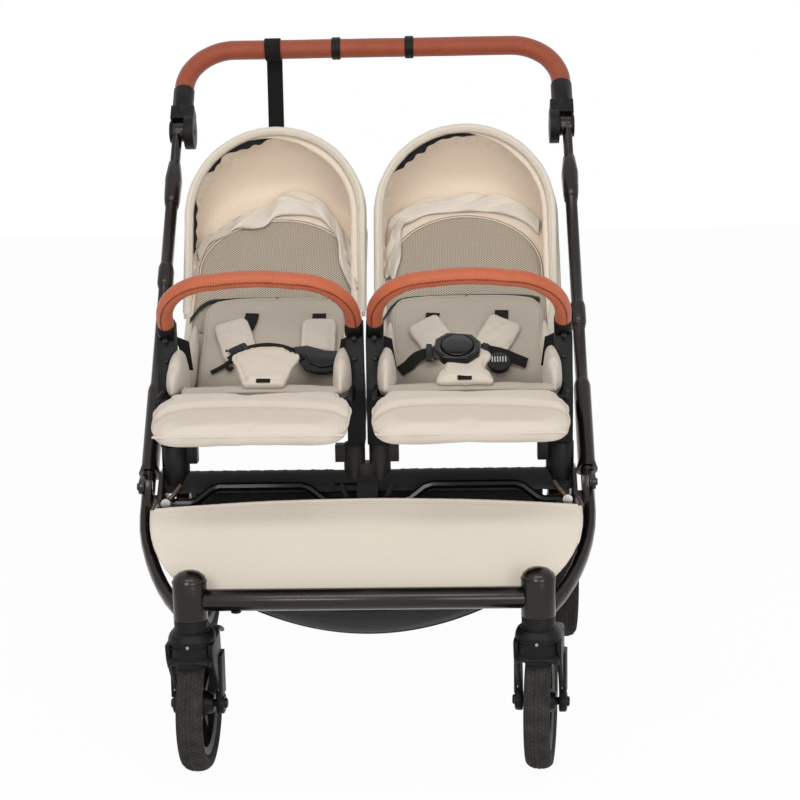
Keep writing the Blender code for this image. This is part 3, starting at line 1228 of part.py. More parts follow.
def main():
    for piece in list(bpy.data.objects):
        bpy.data.objects.remove(piece, do_unlink=True)
    mats = {
        "frame": material("satin_black_aluminium", "1C1A19", 0.38, 0.6),
        "gloss": material("gloss_black_tube", "141312", 0.22, 0.3),
        "shell": material("black_nylon", "1A1918", 0.45),
        "knuckle": material("black_knuckle_plastic", "191817", 0.5),
        "adapter": material("grey_nylon", "4A4541", 0.55),
        "tyre": material("tyre_rubber", "2B2927", 0.85),
        "rim": material("black_rim", "201E1D", 0.4),
        "tan": material("brown_leatherette", "A04A2C", 0.5),
        "tan_bright": material("tan_leatherette", "C0592F", 0.5),
        "cream": material("cream_twill", "E6DBCB", 0.9),
        "liner": material("grey_beige_jersey", "C9C0B2", 0.95),
        "mesh": material("grey_spacer_mesh", "8F8778", 0.9),
        "black_fabric": material("black_polyester", "1D1B1A", 0.9),
        "webbing": material("black_webbing", "161514", 0.85),
        "button": material("black_button", "121110", 0.3),
        "brake": material("dark_grey_pedal", "3A3836", 0.6),
    }
    joint_frame("rig", Vector((0, 0, 0)))
    joint_frame("rear_frame", Vector((0, LEG_BACK, LEG_Z)), "rig")
    joint_frame("push_frame", push_point(0.0, offset=HINGE_OFFSET), "rig")
    joint_frame("height_stems", push_point(PUSH_TOP + COLLAR_L), "push_frame")
    joint_frame("handle", push_point(knuckle_s()), "height_stems")
    front_bar(mats)
    for side_name, side in SIDES:
        caster_housing(side_name, side, mats)
        caster(side_name, side, mats)
        side_tube(side_name, side, mats)
        adapter("outer_adapter_" + side_name, [(side * OUTER_ADAPTER_X, OUTER_ADAPTER_R, -side)], mats)
        rear_leg(side_name, side, mats)
        rear_wheel(side_name, side, mats)
        push_tube(side_name, side, mats)
        stem(side_name, side, mats)
        handle_knuckle(side_name, side, mats)
        seat_unit(side_name, side, mats)
    seat_crossbar(mats)
    arched_tube(mats)
    inner_pair = [(side * INNER_ADAPTER_X, INNER_ADAPTER_R, side) for side in (RIGHT, LEFT)]
    adapter("centre_adapter", inner_pair, mats)
    basket_panel(mats)
    basket(mats)
    rear_axle(mats)
    brake_pedal(mats)
    grip(mats)
    centre_model()


main()
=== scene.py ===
"""Looks of a side by side double stroller: cloth, leatherette, tubes, wheels and small fittings.

Lengths are metres. "Back" is the distance behind the line through both caster swivels.
"""
import json
from math import copysign, cos, hypot, pi, radians, sin, sqrt

import bmesh
import bpy
import numpy as np
from mathutils import Matrix, Vector, noise
from mathutils.bvhtree import BVHTree
from mathutils.kdtree import KDTree


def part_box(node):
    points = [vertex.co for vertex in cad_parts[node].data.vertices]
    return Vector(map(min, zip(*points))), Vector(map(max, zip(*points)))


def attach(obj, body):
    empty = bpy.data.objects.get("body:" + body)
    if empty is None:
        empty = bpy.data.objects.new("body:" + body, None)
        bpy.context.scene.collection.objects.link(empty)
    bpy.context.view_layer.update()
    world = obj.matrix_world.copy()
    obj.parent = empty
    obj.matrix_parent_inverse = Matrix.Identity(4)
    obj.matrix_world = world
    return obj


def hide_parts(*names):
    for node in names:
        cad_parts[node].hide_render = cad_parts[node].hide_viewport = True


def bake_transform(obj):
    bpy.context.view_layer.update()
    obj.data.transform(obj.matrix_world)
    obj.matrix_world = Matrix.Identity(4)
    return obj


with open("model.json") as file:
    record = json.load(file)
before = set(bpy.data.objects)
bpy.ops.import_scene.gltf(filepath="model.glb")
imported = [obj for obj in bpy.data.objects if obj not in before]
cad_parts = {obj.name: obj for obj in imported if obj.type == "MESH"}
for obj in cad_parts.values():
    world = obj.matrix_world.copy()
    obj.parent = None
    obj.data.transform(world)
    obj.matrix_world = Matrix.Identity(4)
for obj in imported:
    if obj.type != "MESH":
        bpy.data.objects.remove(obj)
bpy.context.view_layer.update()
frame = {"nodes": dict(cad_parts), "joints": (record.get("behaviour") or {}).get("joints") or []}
JOINTS = {joint["name"]: joint for joint in frame["joints"]}
SWIVEL_Y = JOINTS["caster_swivel_left"]["pos_m"][1]
# The name of a side, which is called which below, and its sign
SIDES = (("left", -1), ("right", 1))
X_AXIS = Vector((1, 0, 0))
Y_AXIS = Vector((0, 1, 0))
Z_AXIS = Vector((0, 0, 1))


def at(x, back, height):
    return Vector((x, back + SWIVEL_Y, height))


# Sizes shared with the solids
PUSH_ANGLE = radians(50.6)
PUSH_DIR = Vector((0, cos(PUSH_ANGLE), sin(PUSH_ANGLE)))
PUSH_NORMAL = Vector((0, -sin(PUSH_ANGLE), cos(PUSH_ANGLE)))
KNUCKLE_S = 0.692
BACK_ANGLE = radians(41.0)
BACK_DIR = Vector((0, cos(BACK_ANGLE), sin(BACK_ANGLE)))
BACK_NORMAL = Vector((0, -sin(BACK_ANGLE), cos(BACK_ANGLE)))
BAR_TILT = radians(47.4)
BAR_DIR = Vector((0, -cos(BAR_TILT), sin(BAR_TILT)))
BAR_NORMAL = Vector((0, sin(BAR_TILT), cos(BAR_TILT)))
CALF_SLOPE = radians(23.0)
CALF_DIR = Vector((0, -cos(CALF_SLOPE), -sin(CALF_SLOPE)))
CALF_UP = Vector((0, -sin(CALF_SLOPE), cos(CALF_SLOPE)))
SEAT_X = 0.158
HOOD_HALF, HOOD_LEG = 0.1505, 0.166
RIM_DEGREES, RUFFLE_DEGREES, CEILING_DEGREES = 70.2, 67.0, 60.0
HOOD_PIVOT_S = 0.2
BACK_PIVOT = (0.27, 0.5)
SEAT_FRONT = (0.106, 0.566)
SEAT_DIR = Vector((0, 0.144, -0.046)).normalized()
SEAT_UP = Vector((0, 0.046, 0.144)).normalized()
CALF_PIVOT = (0.08, 0.548)
BLOCK = (0.197, 0.6325)
BAR_HALF = 0.1415
SHOULDER_X = {"left": (-0.054, 0.078), "right": (-0.054, 0.046)}
SHOULDER_TURN = {"left": (19.0, 0.0), "right": (31.0, -28.0)}


def push_point(s, x=0.0, offset=0.0):
    return at(x, 0.1797, 0.385) + PUSH_DIR * s + PUSH_NORMAL * offset


# Materials

# Share of the second colour in a woven cloth
MELANGE = 0.25


def linear(code):
    channels = [int(code[i:i + 2], 16) / 255 for i in (1, 3, 5)]
    return [c / 12.92 if c <= 0.04045 else ((c + 0.055) / 1.055) ** 2.4 for c in channels] + [1.0]


def wire(tree, node, inputs):
    """Link or set a node's inputs. A colour may be given by its hex code."""
    for key, value in inputs.items():
        socket = node.inputs[key]
        if isinstance(value, bpy.types.NodeSocket):
            tree.links.new(value, socket)
        elif isinstance(value, str) and value.startswith("#"):
            socket.default_value = linear(value)
        else:
            socket.default_value = value


def add(tree, kind, inputs=None, **settings):
    """Add a node, set its properties, link or set its inputs, and return its outputs."""
    made = tree.nodes.new(kind)
    for key, value in settings.items():
        setattr(made, key, value)
    wire(tree, made, inputs or {})
    return made.outputs


def new_material(name, roughness, metallic=0.0, **sockets):
    mat = bpy.data.materials.new(name)
    mat.use_nodes = True
    tree = mat.node_tree
    shader = tree.nodes["Principled BSDF"]
    wire(tree, shader, {"Roughness": roughness, "Metallic": metallic})
    wire(tree, shader, {key.replace("_", " "): value for key, value in sockets.items()})
    return mat, tree, shader


def surface(tree, shader, factor, low, high, height, strength, distance):
    """Colour a shader by mixing two tones, and give it its relief."""
    tone = add(tree, "ShaderNodeMix", {0: factor, 6: low, 7: high}, data_type="RGBA")[2]
    relief = add(tree, "ShaderNodeBump", {"Height": height, "Strength": strength, "Distance": distance})[0]
    wire(tree, shader, {"Base Color": tone, "Normal": relief})


def tube_metal(name, color, lift, roughness):
    """Anodised aluminium: a satin, slightly brown black with the faint blasted grain of the bare tube."""
    mat, tree, shader = new_material(name, roughness, 0.85)
    place = add(tree, "ShaderNodeTexCoord")["Object"]
    grain = add(tree, "ShaderNodeTexNoise", {"Vector": place, "Scale": 900, "Detail": 3})[0]
    clouds = add(tree, "ShaderNodeTexNoise", {"Vector": place, "Scale": 14, "Detail": 4})[0]
    rough = add(tree, "ShaderNodeMapRange", {0: clouds, 3: roughness - 0.05, 4: roughness + 0.07})[0]
    wire(tree, shader, {"Roughness": rough})
    surface(tree, shader, clouds, color, lift, grain, 0.12, 0.0002)
    return mat


def moulded(name, color, lift, roughness, grain_mm):
    """Injection moulded plastic: an even spark-eroded grain, its tone a little uneven."""
    mat, tree, shader = new_material(name, roughness, Specular_IOR_Level=0.18)
    place = add(tree, "ShaderNodeTexCoord")["Object"]
    cells = add(tree, "ShaderNodeTexVoronoi", {"Vector": place, "Scale": 1000 / grain_mm})["Distance"]
    clouds = add(tree, "ShaderNodeTexNoise", {"Vector": place, "Scale": 25, "Detail": 5})[0]
    surface(tree, shader, clouds, color, lift, cells, 0.35, 0.00025)
    return mat


def rubber(name, color, lift):
    """Foamed rubber: dull and dusty, with a lighter bloom in patches."""
    mat, tree, shader = new_material(name, 0.82, Specular_IOR_Level=0.15)
    place = add(tree, "ShaderNodeTexCoord")["Object"]
    dust = add(tree, "ShaderNodeTexNoise", {"Vector": place, "Scale": 60, "Detail": 8, "Roughness": 0.7})[0]
    fine = add(tree, "ShaderNodeTexNoise", {"Vector": place, "Scale": 1400, "Detail": 2})[0]
    bloom = add(tree, "ShaderNodeMapRange", {0: dust, 1: 0.35, 2: 0.75})[0]
    surface(tree, shader, bloom, color, lift, fine, 0.3, 0.0003)
    return mat


def leatherette(name, color, crease, grain_mm):
    """Coated leatherette: pebbled grain with darker creases and a soft shine on the pebbles."""
    mat, tree, shader = new_material(name, 0.48, Sheen_Weight=0.15)
    place = add(tree, "ShaderNodeTexCoord")["Object"]
    pebbles = add(tree, "ShaderNodeTexVoronoi", {"Vector": place, "Scale": 1000 / grain_mm},
                  feature="DISTANCE_TO_EDGE")["Distance"]
    edge = add(tree, "ShaderNodeMapRange", {0: pebbles, 1: 0.0, 2: 0.22})[0]
    tone = add(tree, "ShaderNodeTexNoise", {"Vector": place, "Scale": 35, "Detail": 4})[0]
    base = add(tree, "ShaderNodeMix", {0: edge, 6: crease, 7: color}, data_type="RGBA")[2]
    wire(tree, shader, {"Roughness": add(tree, "ShaderNodeMapRange", {0: edge, 3: 0.62, 4: 0.42})[0]})
    surface(tree, shader, tone, base, color, edge, 0.35, 0.0005)
    return mat


def thread_waves(tree, thread_mm, turn=0.0):
    """Two crossing waves, one for each thread direction, on the piece's own metre UV map."""
    uv = add(tree, "ShaderNodeUVMap", uv_map="UVMap")[0]
    turned_uv = add(tree, "ShaderNodeMapping", {"Vector": uv, "Rotation": (0, 0, turn)})[0]
    parts = add(tree, "ShaderNodeSeparateXYZ", {0: turned_uv})
    pace = 2 * pi * 1000 / thread_mm
    angles = [add(tree, "ShaderNodeMath", {0: parts[k], 1: pace}, operation="MULTIPLY")[0] for k in (0, 1)]
    return [add(tree, "ShaderNodeMath", {0: angle}, operation="SINE")[0] for angle in angles]


def woven(name, color, shade, thread_mm, depth, roughness=0.88, turn=0.0):
    """Woven cloth: threads that pass over and under each other, with slightly uneven dye.

    The real threads are about 0.4 mm, too fine to show, so they are drawn wider."""
    mat, tree, shader = new_material(name, roughness, Sheen_Weight=0.2)
    warp, weft = thread_waves(tree, thread_mm, turn)
    height = add(tree, "ShaderNodeMath", {0: warp, 1: weft}, operation="MULTIPLY")[0]
    place = add(tree, "ShaderNodeTexCoord")["Object"]
    slubs = add(tree, "ShaderNodeTexNoise", {"Vector": place, "Scale": 420, "Detail": 3})[0]
    clouds = add(tree, "ShaderNodeTexNoise", {"Vector": place, "Scale": 7, "Detail": 3})[0]
    weave = add(tree, "ShaderNodeMapRange", {0: height, 1: -1, 2: 1, 3: 0.0, 4: MELANGE})[0]
    dyed = add(tree, "ShaderNodeMix", {0: weave, 6: color, 7: shade}, data_type="RGBA")[2]
    spots = add(tree, "ShaderNodeMapRange", {0: slubs, 1: 0.45, 2: 0.75, 3: 0, 4: MELANGE})[0]
    relief = add(tree, "ShaderNodeMath", {0: slubs, 1: height}, operation="ADD")[0]
    swell = add(tree, "ShaderNodeMath", {0: clouds, 1: 1.5, 2: relief}, operation="MULTIPLY_ADD")[0]
    surface(tree, shader, spots, dyed, shade, swell, depth, 0.0006)
    return mat


def spacer_mesh(name, yarn, hole, pitch_mm):
    """Warp knitted spacer mesh: rows of small oval holes, every second row set off by half a step.

    The real holes are about 2.5 mm apart, too fine to show, so they are drawn wider."""
    mat, tree, shader = new_material(name, 0.85, Sheen_Weight=0.25)
    parts = add(tree, "ShaderNodeSeparateXYZ", {0: add(tree, "ShaderNodeUVMap", uv_map="UVMap")[0]})
    turns = 1000 / pitch_mm
    waves = []
    for sign in (1, -1):
        slant = add(tree, "ShaderNodeMath", {0: parts[1], 1: sign * turns * 1.35}, operation="MULTIPLY")[0]
        step = add(tree, "ShaderNodeMath", {0: parts[0], 1: turns, 2: slant}, operation="MULTIPLY_ADD")[0]
        angle = add(tree, "ShaderNodeMath", {0: step, 1: 2 * pi}, operation="MULTIPLY")[0]
        waves.append(add(tree, "ShaderNodeMath", {0: angle}, operation="SINE")[0])
    both = add(tree, "ShaderNodeMath", {0: waves[0], 1: waves[1]}, operation="ADD")[0]
    holes = add(tree, "ShaderNodeMapRange", {0: both, 1: 0.15, 2: 1.0}, interpolation_type="SMOOTHSTEP")[0]
    lift = add(tree, "ShaderNodeMath", {0: 1.0, 1: holes}, operation="SUBTRACT")[0]
    surface(tree, shader, holes, yarn, hole, lift, 0.6, 0.0008)
    return mat


def webbing(name, color, shade, rib_mm):
    """Polyester webbing: flat, with ribs across the strap."""
    mat, tree, shader = new_material(name, 0.75, Specular_IOR_Level=0.15)
    ribs, rows = thread_waves(tree, rib_mm)
    height = add(tree, "ShaderNodeMath", {0: ribs, 1: rows}, operation="ADD")[0]
    tone = add(tree, "ShaderNodeMapRange", {0: height, 1: -2, 2: 2})[0]
    surface(tree, shader, tone, color, shade, height, 0.3, 0.0004)
    return mat


def plain(name, color, lift, roughness, metallic=0.0, scale=200, **sockets):
    """A smooth part: polished, plated or lacquered, with only faint unevenness."""
    mat, tree, shader = new_material(name, roughness, metallic, **sockets)
    place = add(tree, "ShaderNodeTexCoord")["Object"]
    clouds = add(tree, "ShaderNodeTexNoise", {"Vector": place, "Scale": scale, "Detail": 3})[0]
    surface(tree, shader, clouds, color, lift, clouds, 0.08, 0.0003)
    return mat


# A look: its material and the name of its slot
LOOKS = {
    "frame": (tube_metal("anodised_black_tube", "#2F2C2A", "#393533", 0.22), "satin_black_aluminium"),
    "gloss": (plain("lacquered_black_tube", "#0B0A0A", "#141312", 0.16, 0.2, Specular_IOR_Level=0.3),
              "gloss_black_tube"),
    "nylon": (moulded("moulded_black_nylon", "#0D0C0C", "#141312", 0.44, 0.7), "black_nylon"),
    "grey": (moulded("moulded_grey_nylon", "#242120", "#302C29", 0.52, 0.8), "grey_nylon"),
    "tyre": (rubber("foamed_tyre_rubber", "#2A2827", "#413E3B"), "tyre_rubber"),
    "rim": (moulded("moulded_black_rim", "#0F0E0E", "#171615", 0.4, 0.9), "black_rim"),
    "tan": (leatherette("brown_leatherette", "#A54824", "#65280C", 1.7), "brown_leatherette"),
    "tan_bright": (leatherette("tan_leatherette", "#C9653D", "#8E4022", 1.9), "tan_leatherette"),
    "cream": (woven("cream_twill", "#E9DFD0", "#CFC2AF", 1.5, 0.25, turn=radians(45)), "cream_twill"),
    "cream_pad": (woven("cream_soft_jersey", "#DBD0C2", "#C3B7A7", 1.3, 0.18), "cream_twill"),
    "liner": (woven("grey_beige_jersey", "#BFB5A7", "#A29888", 1.2, 0.2), "grey_beige_jersey"),
    "mesh": (spacer_mesh("grey_spacer_mesh", "#CBBDA9", "#3A332A", 5.4), "grey_spacer_mesh"),
    "lining": (woven("cream_lining", "#F3E4D2", "#DAC8B1", 1.1, 0.15), "cream_twill"),
    "flap": (woven("cream_flap_cloth", "#EBE3D7", "#D2C6B6", 1.1, 0.15), "cream_twill"),
    "tyre_top": (rubber("worn_tread_rubber", "#2B2927", "#4A4642"), "tyre_rubber"),
    "strap_grey": (webbing("grey_webbing", "#4A4847", "#353332", 1.6), "black_webbing"),
    "steel_dark": (plain("blackened_steel", "#2A2827", "#1C1B1A", 0.35, 0.9), "satin_black_aluminium"),
    "bronze": (plain("worn_brass_plating", "#6B5D4B", "#54483A", 0.4, 0.7), "satin_black_aluminium"),
    # Black brushed cloth; it also colours the black sheets of painted shade in the basket, above the seat liners
    # and in the hood rims' gaps
    "felt": (woven("black_brushed_polyester", "#121110", "#211F1D", 1.4, 0.4, roughness=0.95),
             "black_polyester"),
    "basket": (woven("dark_grey_mesh_cloth", "#2E2B2B", "#1B1919", 1.8, 0.4), "black_polyester"),
    "webbing": (webbing("black_webbing", "#0F0E0E", "#201E1D", 1.6), "black_webbing"),
    "thread": (plain("cream_thread", "#D9CCB8", "#C8BAA5", 0.8, scale=900), "cream_twill"),
    "brown_thread": (plain("brown_thread", "#5A2714", "#43190B", 0.8, scale=900), "brown_leatherette"),
    "steel": (plain("zinc_plated_steel", "#B9B6B2", "#9D9A96", 0.28, 1.0), "satin_black_aluminium"),
    "gloss_plastic": (plain("polished_black_plastic", "#080707", "#100F0F", 0.18, Specular_IOR_Level=0.3),
                      "gloss_black_tube"),
    "brake": (moulded("ribbed_dark_grey_rubber", "#2E2B2A", "#3B3836", 0.7, 1.0), "dark_grey_pedal"),
}
MATS = {key: mat for key, (mat, slot) in LOOKS.items()}


# Meshes

def turns(count):
    """Equal steps round a circle, in radians."""
    return [2 * pi * i / count for i in range(count)]


def circle(radius, count=24):
    return [(radius * cos(a), radius * sin(a)) for a in turns(count)]


def rounded_box(u0, u1, v0, v1, radius, arc=6):
    points = []
    for u, v, quarter in ((u1, v1, 0), (u0, v1, 1), (u0, v0, 2), (u1, v0, 3)):
        cu = u - copysign(radius, u - (u0 + u1) / 2)
        cv = v - copysign(radius, v - (v0 + v1) / 2)
        for i in range(arc + 1):
            a = pi / 2 * (quarter + i / arc)
            points.append((cu + radius * cos(a), cv + radius * sin(a)))
    return points


def skin(rings, loop=False, closed_ring=True, caps=True):
    """Vertices, faces and metre UVs of a row of equal rings."""
    count = len(rings[0])
    vertices = [Vector(p) for ring in rings for p in ring]
    faces, uvs, around = [], [], []
    lengths = [0.0]
    for a, b in zip(rings, rings[1:] + ([rings[0]] if loop else [])):
        lengths.append(lengths[-1] + sum((Vector(q) - Vector(p)).length for p, q in zip(a, b)) / count)
    for ring in rings:
        steps = [0.0]
        for j in range(count):
            steps.append(steps[-1] + (Vector(ring[(j + 1) % count]) - Vector(ring[j])).length)
        around.append(steps)
    for i in range(len(rings) if loop else len(rings) - 1):
        k = (i + 1) % len(rings)
        for j in range(count if closed_ring else count - 1):
            m = (j + 1) % count
            faces.append((i * count + j, i * count + m, k * count + m, k * count + j))
            uvs.append([(around[i][j], lengths[i]), (around[i][j + 1], lengths[i]),
                        (around[k][j + 1], lengths[i + 1]), (around[k][j], lengths[i + 1])])
    if caps and not loop and closed_ring:
        for start in (0, (len(rings) - 1) * count):
            face = tuple(range(start, start + count))
            faces.append(face)
            uvs.append([(vertices[v].x, vertices[v].y + vertices[v].z) for v in face])
    return vertices, faces, uvs


def cloth(rows):
    """An open sheet through rows of points."""
    return skin(rows, closed_ring=False, caps=False)


def linked(name, data):
    """A new object in the scene."""
    made = bpy.data.objects.new(name, data)
    bpy.context.scene.collection.objects.link(made)
    return made


def piece(name, shapes, mat, smooth=40):
    """One object from several skins, with its faces pointing out and its UV map in metres."""
    vertices, faces, uvs = [], [], []
    for shape_vertices, shape_faces, shape_uvs in shapes:
        base = len(vertices)
        vertices += shape_vertices
        faces += [tuple(base + i for i in face) for face in shape_faces]
        uvs += shape_uvs
    mesh = bpy.data.meshes.new(name)
    mesh.from_pydata(vertices, [], faces)
    layer = mesh.uv_layers.new(name="UVMap")
    layer.data.foreach_set("uv", [c for face_uvs in uvs for pair in face_uvs for c in pair])
    bm = bmesh.new()
    bm.from_mesh(mesh)
    bmesh.ops.remove_doubles(bm, verts=bm.verts, dist=1e-6)
    bmesh.ops.recalc_face_normals(bm, faces=bm.faces)
    bm.to_mesh(mesh)
    bm.free()
    mesh.materials.append(mat)
    mesh.shade_smooth()
    mesh.set_sharp_from_angle(angle=radians(smooth))
    return linked(name, mesh)


def place(made, body, mat, nodes=(), blend=None):
    """Fix a piece to its body, or bake it where it lies when it is between two, and hide the solids that it
    stands for.
    """
    if blend:
        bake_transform(made)
    else:
        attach(made, body)
    if nodes:
        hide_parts(*nodes)
    return made


def sweep(points, section, side, scale=None):
    rings = []
    for i, point in enumerate(points):
        tangent = (points[min(i + 1, len(points) - 1)] - points[max(i - 1, 0)]).normalized()
        u = (side - tangent * side.dot(tangent)).normalized()
        v = tangent.cross(u)
        size = scale[i] if scale else 1.0
        rings.append([point + u * a * size + v * b * size for a, b in section])
    return skin(rings)


def turned(base, axis, profile, count=36):
    """A turned shape from (along, radius) pairs."""
    side = X_AXIS if abs(axis.x) < 0.5 else Y_AXIS
    u = (side - axis * side.dot(axis)).normalized()
    v = axis.cross(u)
    return skin([[base + axis * s + u * a + v * b for a, b in circle(r, count)] for s, r in profile])


def hoop(centre, axis, section, count):
    """Turn a closed section of (radius, along) pairs round an axis."""
    u = (Z_AXIS - axis * Z_AXIS.dot(axis)).normalized()
    v = axis.cross(u)
    rings = []
    for a in turns(count):
        out = u * cos(a) + v * sin(a)
        rings.append([centre + out * r + axis * x for r, x in section])
    return skin(rings, loop=True)


def plate(outline, origin, u, v, low, high):
    w = u.cross(v)
    return skin([[origin + u * a + v * b + w * level for a, b in outline] for level in (low, high)])


def bevel(made, width, angle=32):
    modifier = made.modifiers.new("soft_edges", "BEVEL")
    modifier.width = width
    modifier.segments = 2
    modifier.limit_method = "ANGLE"
    modifier.angle_limit = radians(angle)
    modifier.harden_normals = False
    bake(made)
    made.data.set_sharp_from_angle(angle=radians(40))


def bake(made):
    """Turn what an object's modifiers give into its mesh."""
    graph = bpy.context.evaluated_depsgraph_get()
    mesh = bpy.data.meshes.new_from_object(made.evaluated_get(graph))
    made.modifiers.clear()
    made.data = mesh
    return made


def solid_copy(node, name, mat, flat):
    """A solid's shape as a new object, with its triangles joined and, if flat, made into whole faces."""
    bm = bmesh.new()
    bm.from_mesh(frame["nodes"][node].data)
    bmesh.ops.remove_doubles(bm, verts=bm.verts, dist=1e-6)
    if flat:
        bmesh.ops.dissolve_limit(bm, angle_limit=radians(1.5), verts=bm.verts, edges=bm.edges)
    else:
        bmesh.ops.recalc_face_normals(bm, faces=bm.faces)
    mesh = bpy.data.meshes.new(name)
    bm.to_mesh(mesh)
    bm.free()
    mesh.materials.append(MATS[mat])
    return linked(name, mesh)


def dress(node, mat, body, width=0.0006, name=None):
    """Show a solid as it is, with its edges softened."""
    made = solid_copy(node, name or node + "_shown", mat, True)
    made.data.shade_smooth()
    made.data.set_sharp_from_angle(angle=radians(40))
    if width:
        bevel(made, width, 45)
    cube_uv(made)
    return place(made, body, mat, [node])


def cube_uv(made):
    """Give every face metre UVs along the two axes that it faces least."""
    mesh = made.data
    layer = mesh.uv_layers.get("UVMap") or mesh.uv_layers.new(name="UVMap")
    for polygon in mesh.polygons:
        axis = max(range(3), key=lambda k: abs(polygon.normal[k]))
        a, b = [k for k in range(3) if k != axis]
        for loop in polygon.loop_indices:
            co = mesh.vertices[mesh.loops[loop].vertex_index].co
            layer.data[loop].uv = (co[a], co[b])


# Camera, light and ground

def set_camera():
    """The photo's camera: turned a little left, looking down, rolled a little."""
    data = bpy.data.cameras.new("view")
    camera = linked("view", data)
    yaw, pitch, roll = -0.0267, 0.17, -0.018
    ahead = Vector((sin(yaw) * cos(pitch), cos(yaw) * cos(pitch), -sin(pitch)))
    level = Vector((cos(yaw), -sin(yaw), 0))
    right = level * cos(roll) + level.cross(ahead) * sin(roll)
    matrix = Matrix((right, right.cross(ahead), -ahead)).transposed().to_4x4()
    matrix.translation = at(0.1222, -2.3903, 1.0309)
    camera.matrix_world = matrix
    data.sensor_width = 36
    data.lens = 77.7
    data.shift_y = -0.0504
    bpy.context.scene.camera = camera


def seen_by(tree):
    """1 where a camera, glossy or transmission ray looks, 0 for light that falls on the object."""
    path = add(tree, "ShaderNodeLightPath")
    two = add(tree, "ShaderNodeMath", {0: path["Is Camera Ray"], 1: path["Is Glossy Ray"]},
              operation="MAXIMUM")[0]
    return add(tree, "ShaderNodeMath", {0: two, 1: path["Is Transmission Ray"]}, operation="MAXIMUM")[0]


# A lamp: name, place, width, depth, power
LAMPS = (("key", (-0.8, -3.1, 1.6), 1.0, 1.0, 24), ("fill", (1.3, -2.9, 1.0), 1.2, 1.2, 19),
         ("overhead", (0.0, -1.95, 2.75), 2.6, 0.3, 21), ("top", (0.0, 0.8, 3.0), 2.0, 2.0, 3))


def set_studio():
    world = bpy.data.worlds.new("studio")
    world.use_nodes = True
    bpy.context.scene.world = world
    tree = world.node_tree
    strength = add(tree, "ShaderNodeMapRange", {0: seen_by(tree), 3: 0.38, 4: 1.0})[0]
    wire(tree, tree.nodes["Background"], {0: "#FFFFFF", 1: strength})
    for name, spot, wide, deep, power in LAMPS:
        data = bpy.data.lights.new(name, "AREA")
        data.shape = "RECTANGLE"
        data.size, data.size_y = wide, deep
        data.energy = power
        lamp = linked(name, data)
        lamp.location = spot
        lamp.rotation_euler = (Vector((0, 0, 0.55)) - Vector(spot)).to_track_quat("-Z", "Y").to_euler()
    mat, tree, shader = new_material("white_studio_floor", 0.9, Base_Color="#FBFBFB")
    glow = add(tree, "ShaderNodeEmission", {"Color": "#FFFFFF", "Strength": 1.0})[0]
    share = add(tree, "ShaderNodeMath", {0: seen_by(tree), 1: 0.965}, operation="MULTIPLY")[0]
    mix = add(tree, "ShaderNodeMixShader", {0: share, 1: shader.outputs[0], 2: glow})[0]
    wire(tree, tree.nodes["Material Output"], {0: mix})
    piece("ground", [cloth([[(-8, -8, 0), (8, -8, 0)], [(-8, 8, 0), (8, 8, 0)]])], mat)


set_camera()
set_studio()
bpy.context.scene.view_settings.view_transform = "Standard"


def show(name, shapes, mat, body, nodes=(), width=0.0, smooth=40, blend=None):
    made = piece(name, shapes, MATS[mat], smooth)
    if width:
        bevel(made, width)
    return place(made, body, mat, nodes, blend)


def arch_outline(half, leg, rise=None, foot=0.0, leg_steps=10, arc_steps=48):
    """Outline of a hood or window as (across, up) pairs, from its left foot to its right foot."""
    rise = half if rise is None else rise
    points = [(-half, foot + (leg - foot) * i / leg_steps) for i in range(leg_steps)]
    for i in range(arc_steps + 1):
        angle = pi * i / arc_steps
        points.append((-half * cos(angle), leg + rise * sin(angle)))
    return points + [(half, leg - (leg - foot) * (i + 1) / leg_steps) for i in range(leg_steps)]


def back_point(mid_x, a, s, n=0.0):
    return at(mid_x + a, BACK_PIVOT[0], BACK_PIVOT[1]) + BACK_DIR * s + BACK_NORMAL * n


def hood_point(mid_x, a, r, degrees, n=0.0):
    angle = radians(degrees)
    pivot = back_point(mid_x, a, HOOD_PIVOT_S)
    return pivot + Vector((0, cos(angle), sin(angle))) * r + \
        Vector((0, -sin(angle), cos(angle))) * n


def seat_point(mid_x, a, s, n=0.0):
    return at(mid_x + a, SEAT_FRONT[0], SEAT_FRONT[1]) + SEAT_DIR * s + SEAT_UP * n


def calf_point(mid_x, a, c, n=0.0):
    return at(mid_x + a, CALF_PIVOT[0], CALF_PIVOT[1]) + CALF_DIR * c + CALF_UP * n


def arch_point(mid_x, a, r, inward, degrees, n=0.0):
    """A point of a canopy's outline, drawn in towards the middle."""
    scale = 1 - inward / HOOD_HALF
    return hood_point(mid_x, a * scale, HOOD_LEG + (r - HOOD_LEG) * scale if r > HOOD_LEG else r, degrees, n)


def hood_blend(which, mid_x):
    """Names of the backrest and the folding hood that a cloth lies between, with two points on it."""
    return ("backrest_" + which, "hood_" + which,
            hood_point(mid_x, 0, 0.25, 45), hood_point(mid_x, 0, 0.25, 69))


def smooth_line(points, per_span=8):
    """A Catmull-Rom curve through the given points."""
    points = [Vector(p) for p in points]
    made = []
    for i in range(len(points) - 1):
        a, b, c, d = points[max(i - 1, 0)], points[i], points[i + 1], points[min(i + 2, len(points) - 1)]
        for k in range(per_span):
            t = k / per_span
            made.append(0.5 * ((2 * b) + (c - a) * t + (2 * a - 5 * b + 4 * c - d) * t * t +
                               (3 * b - a - 3 * c + d) * t ** 3))
    return made + [points[-1]]


def evenly(points, count):
    """Points at equal steps along a line."""
    points = [Vector(p) for p in points]
    lengths = [0.0]
    for p, q in zip(points, points[1:]):
        lengths.append(lengths[-1] + (q - p).length)
    made = []
    k = 0
    for i in range(count):
        target = lengths[-1] * i / (count - 1)
        while k < len(points) - 2 and lengths[k + 1] < target:
            k += 1
        span = max(lengths[k + 1] - lengths[k], 1e-9)
        made.append(points[k].lerp(points[k + 1], min(1.0, (target - lengths[k]) / span)))
    return made


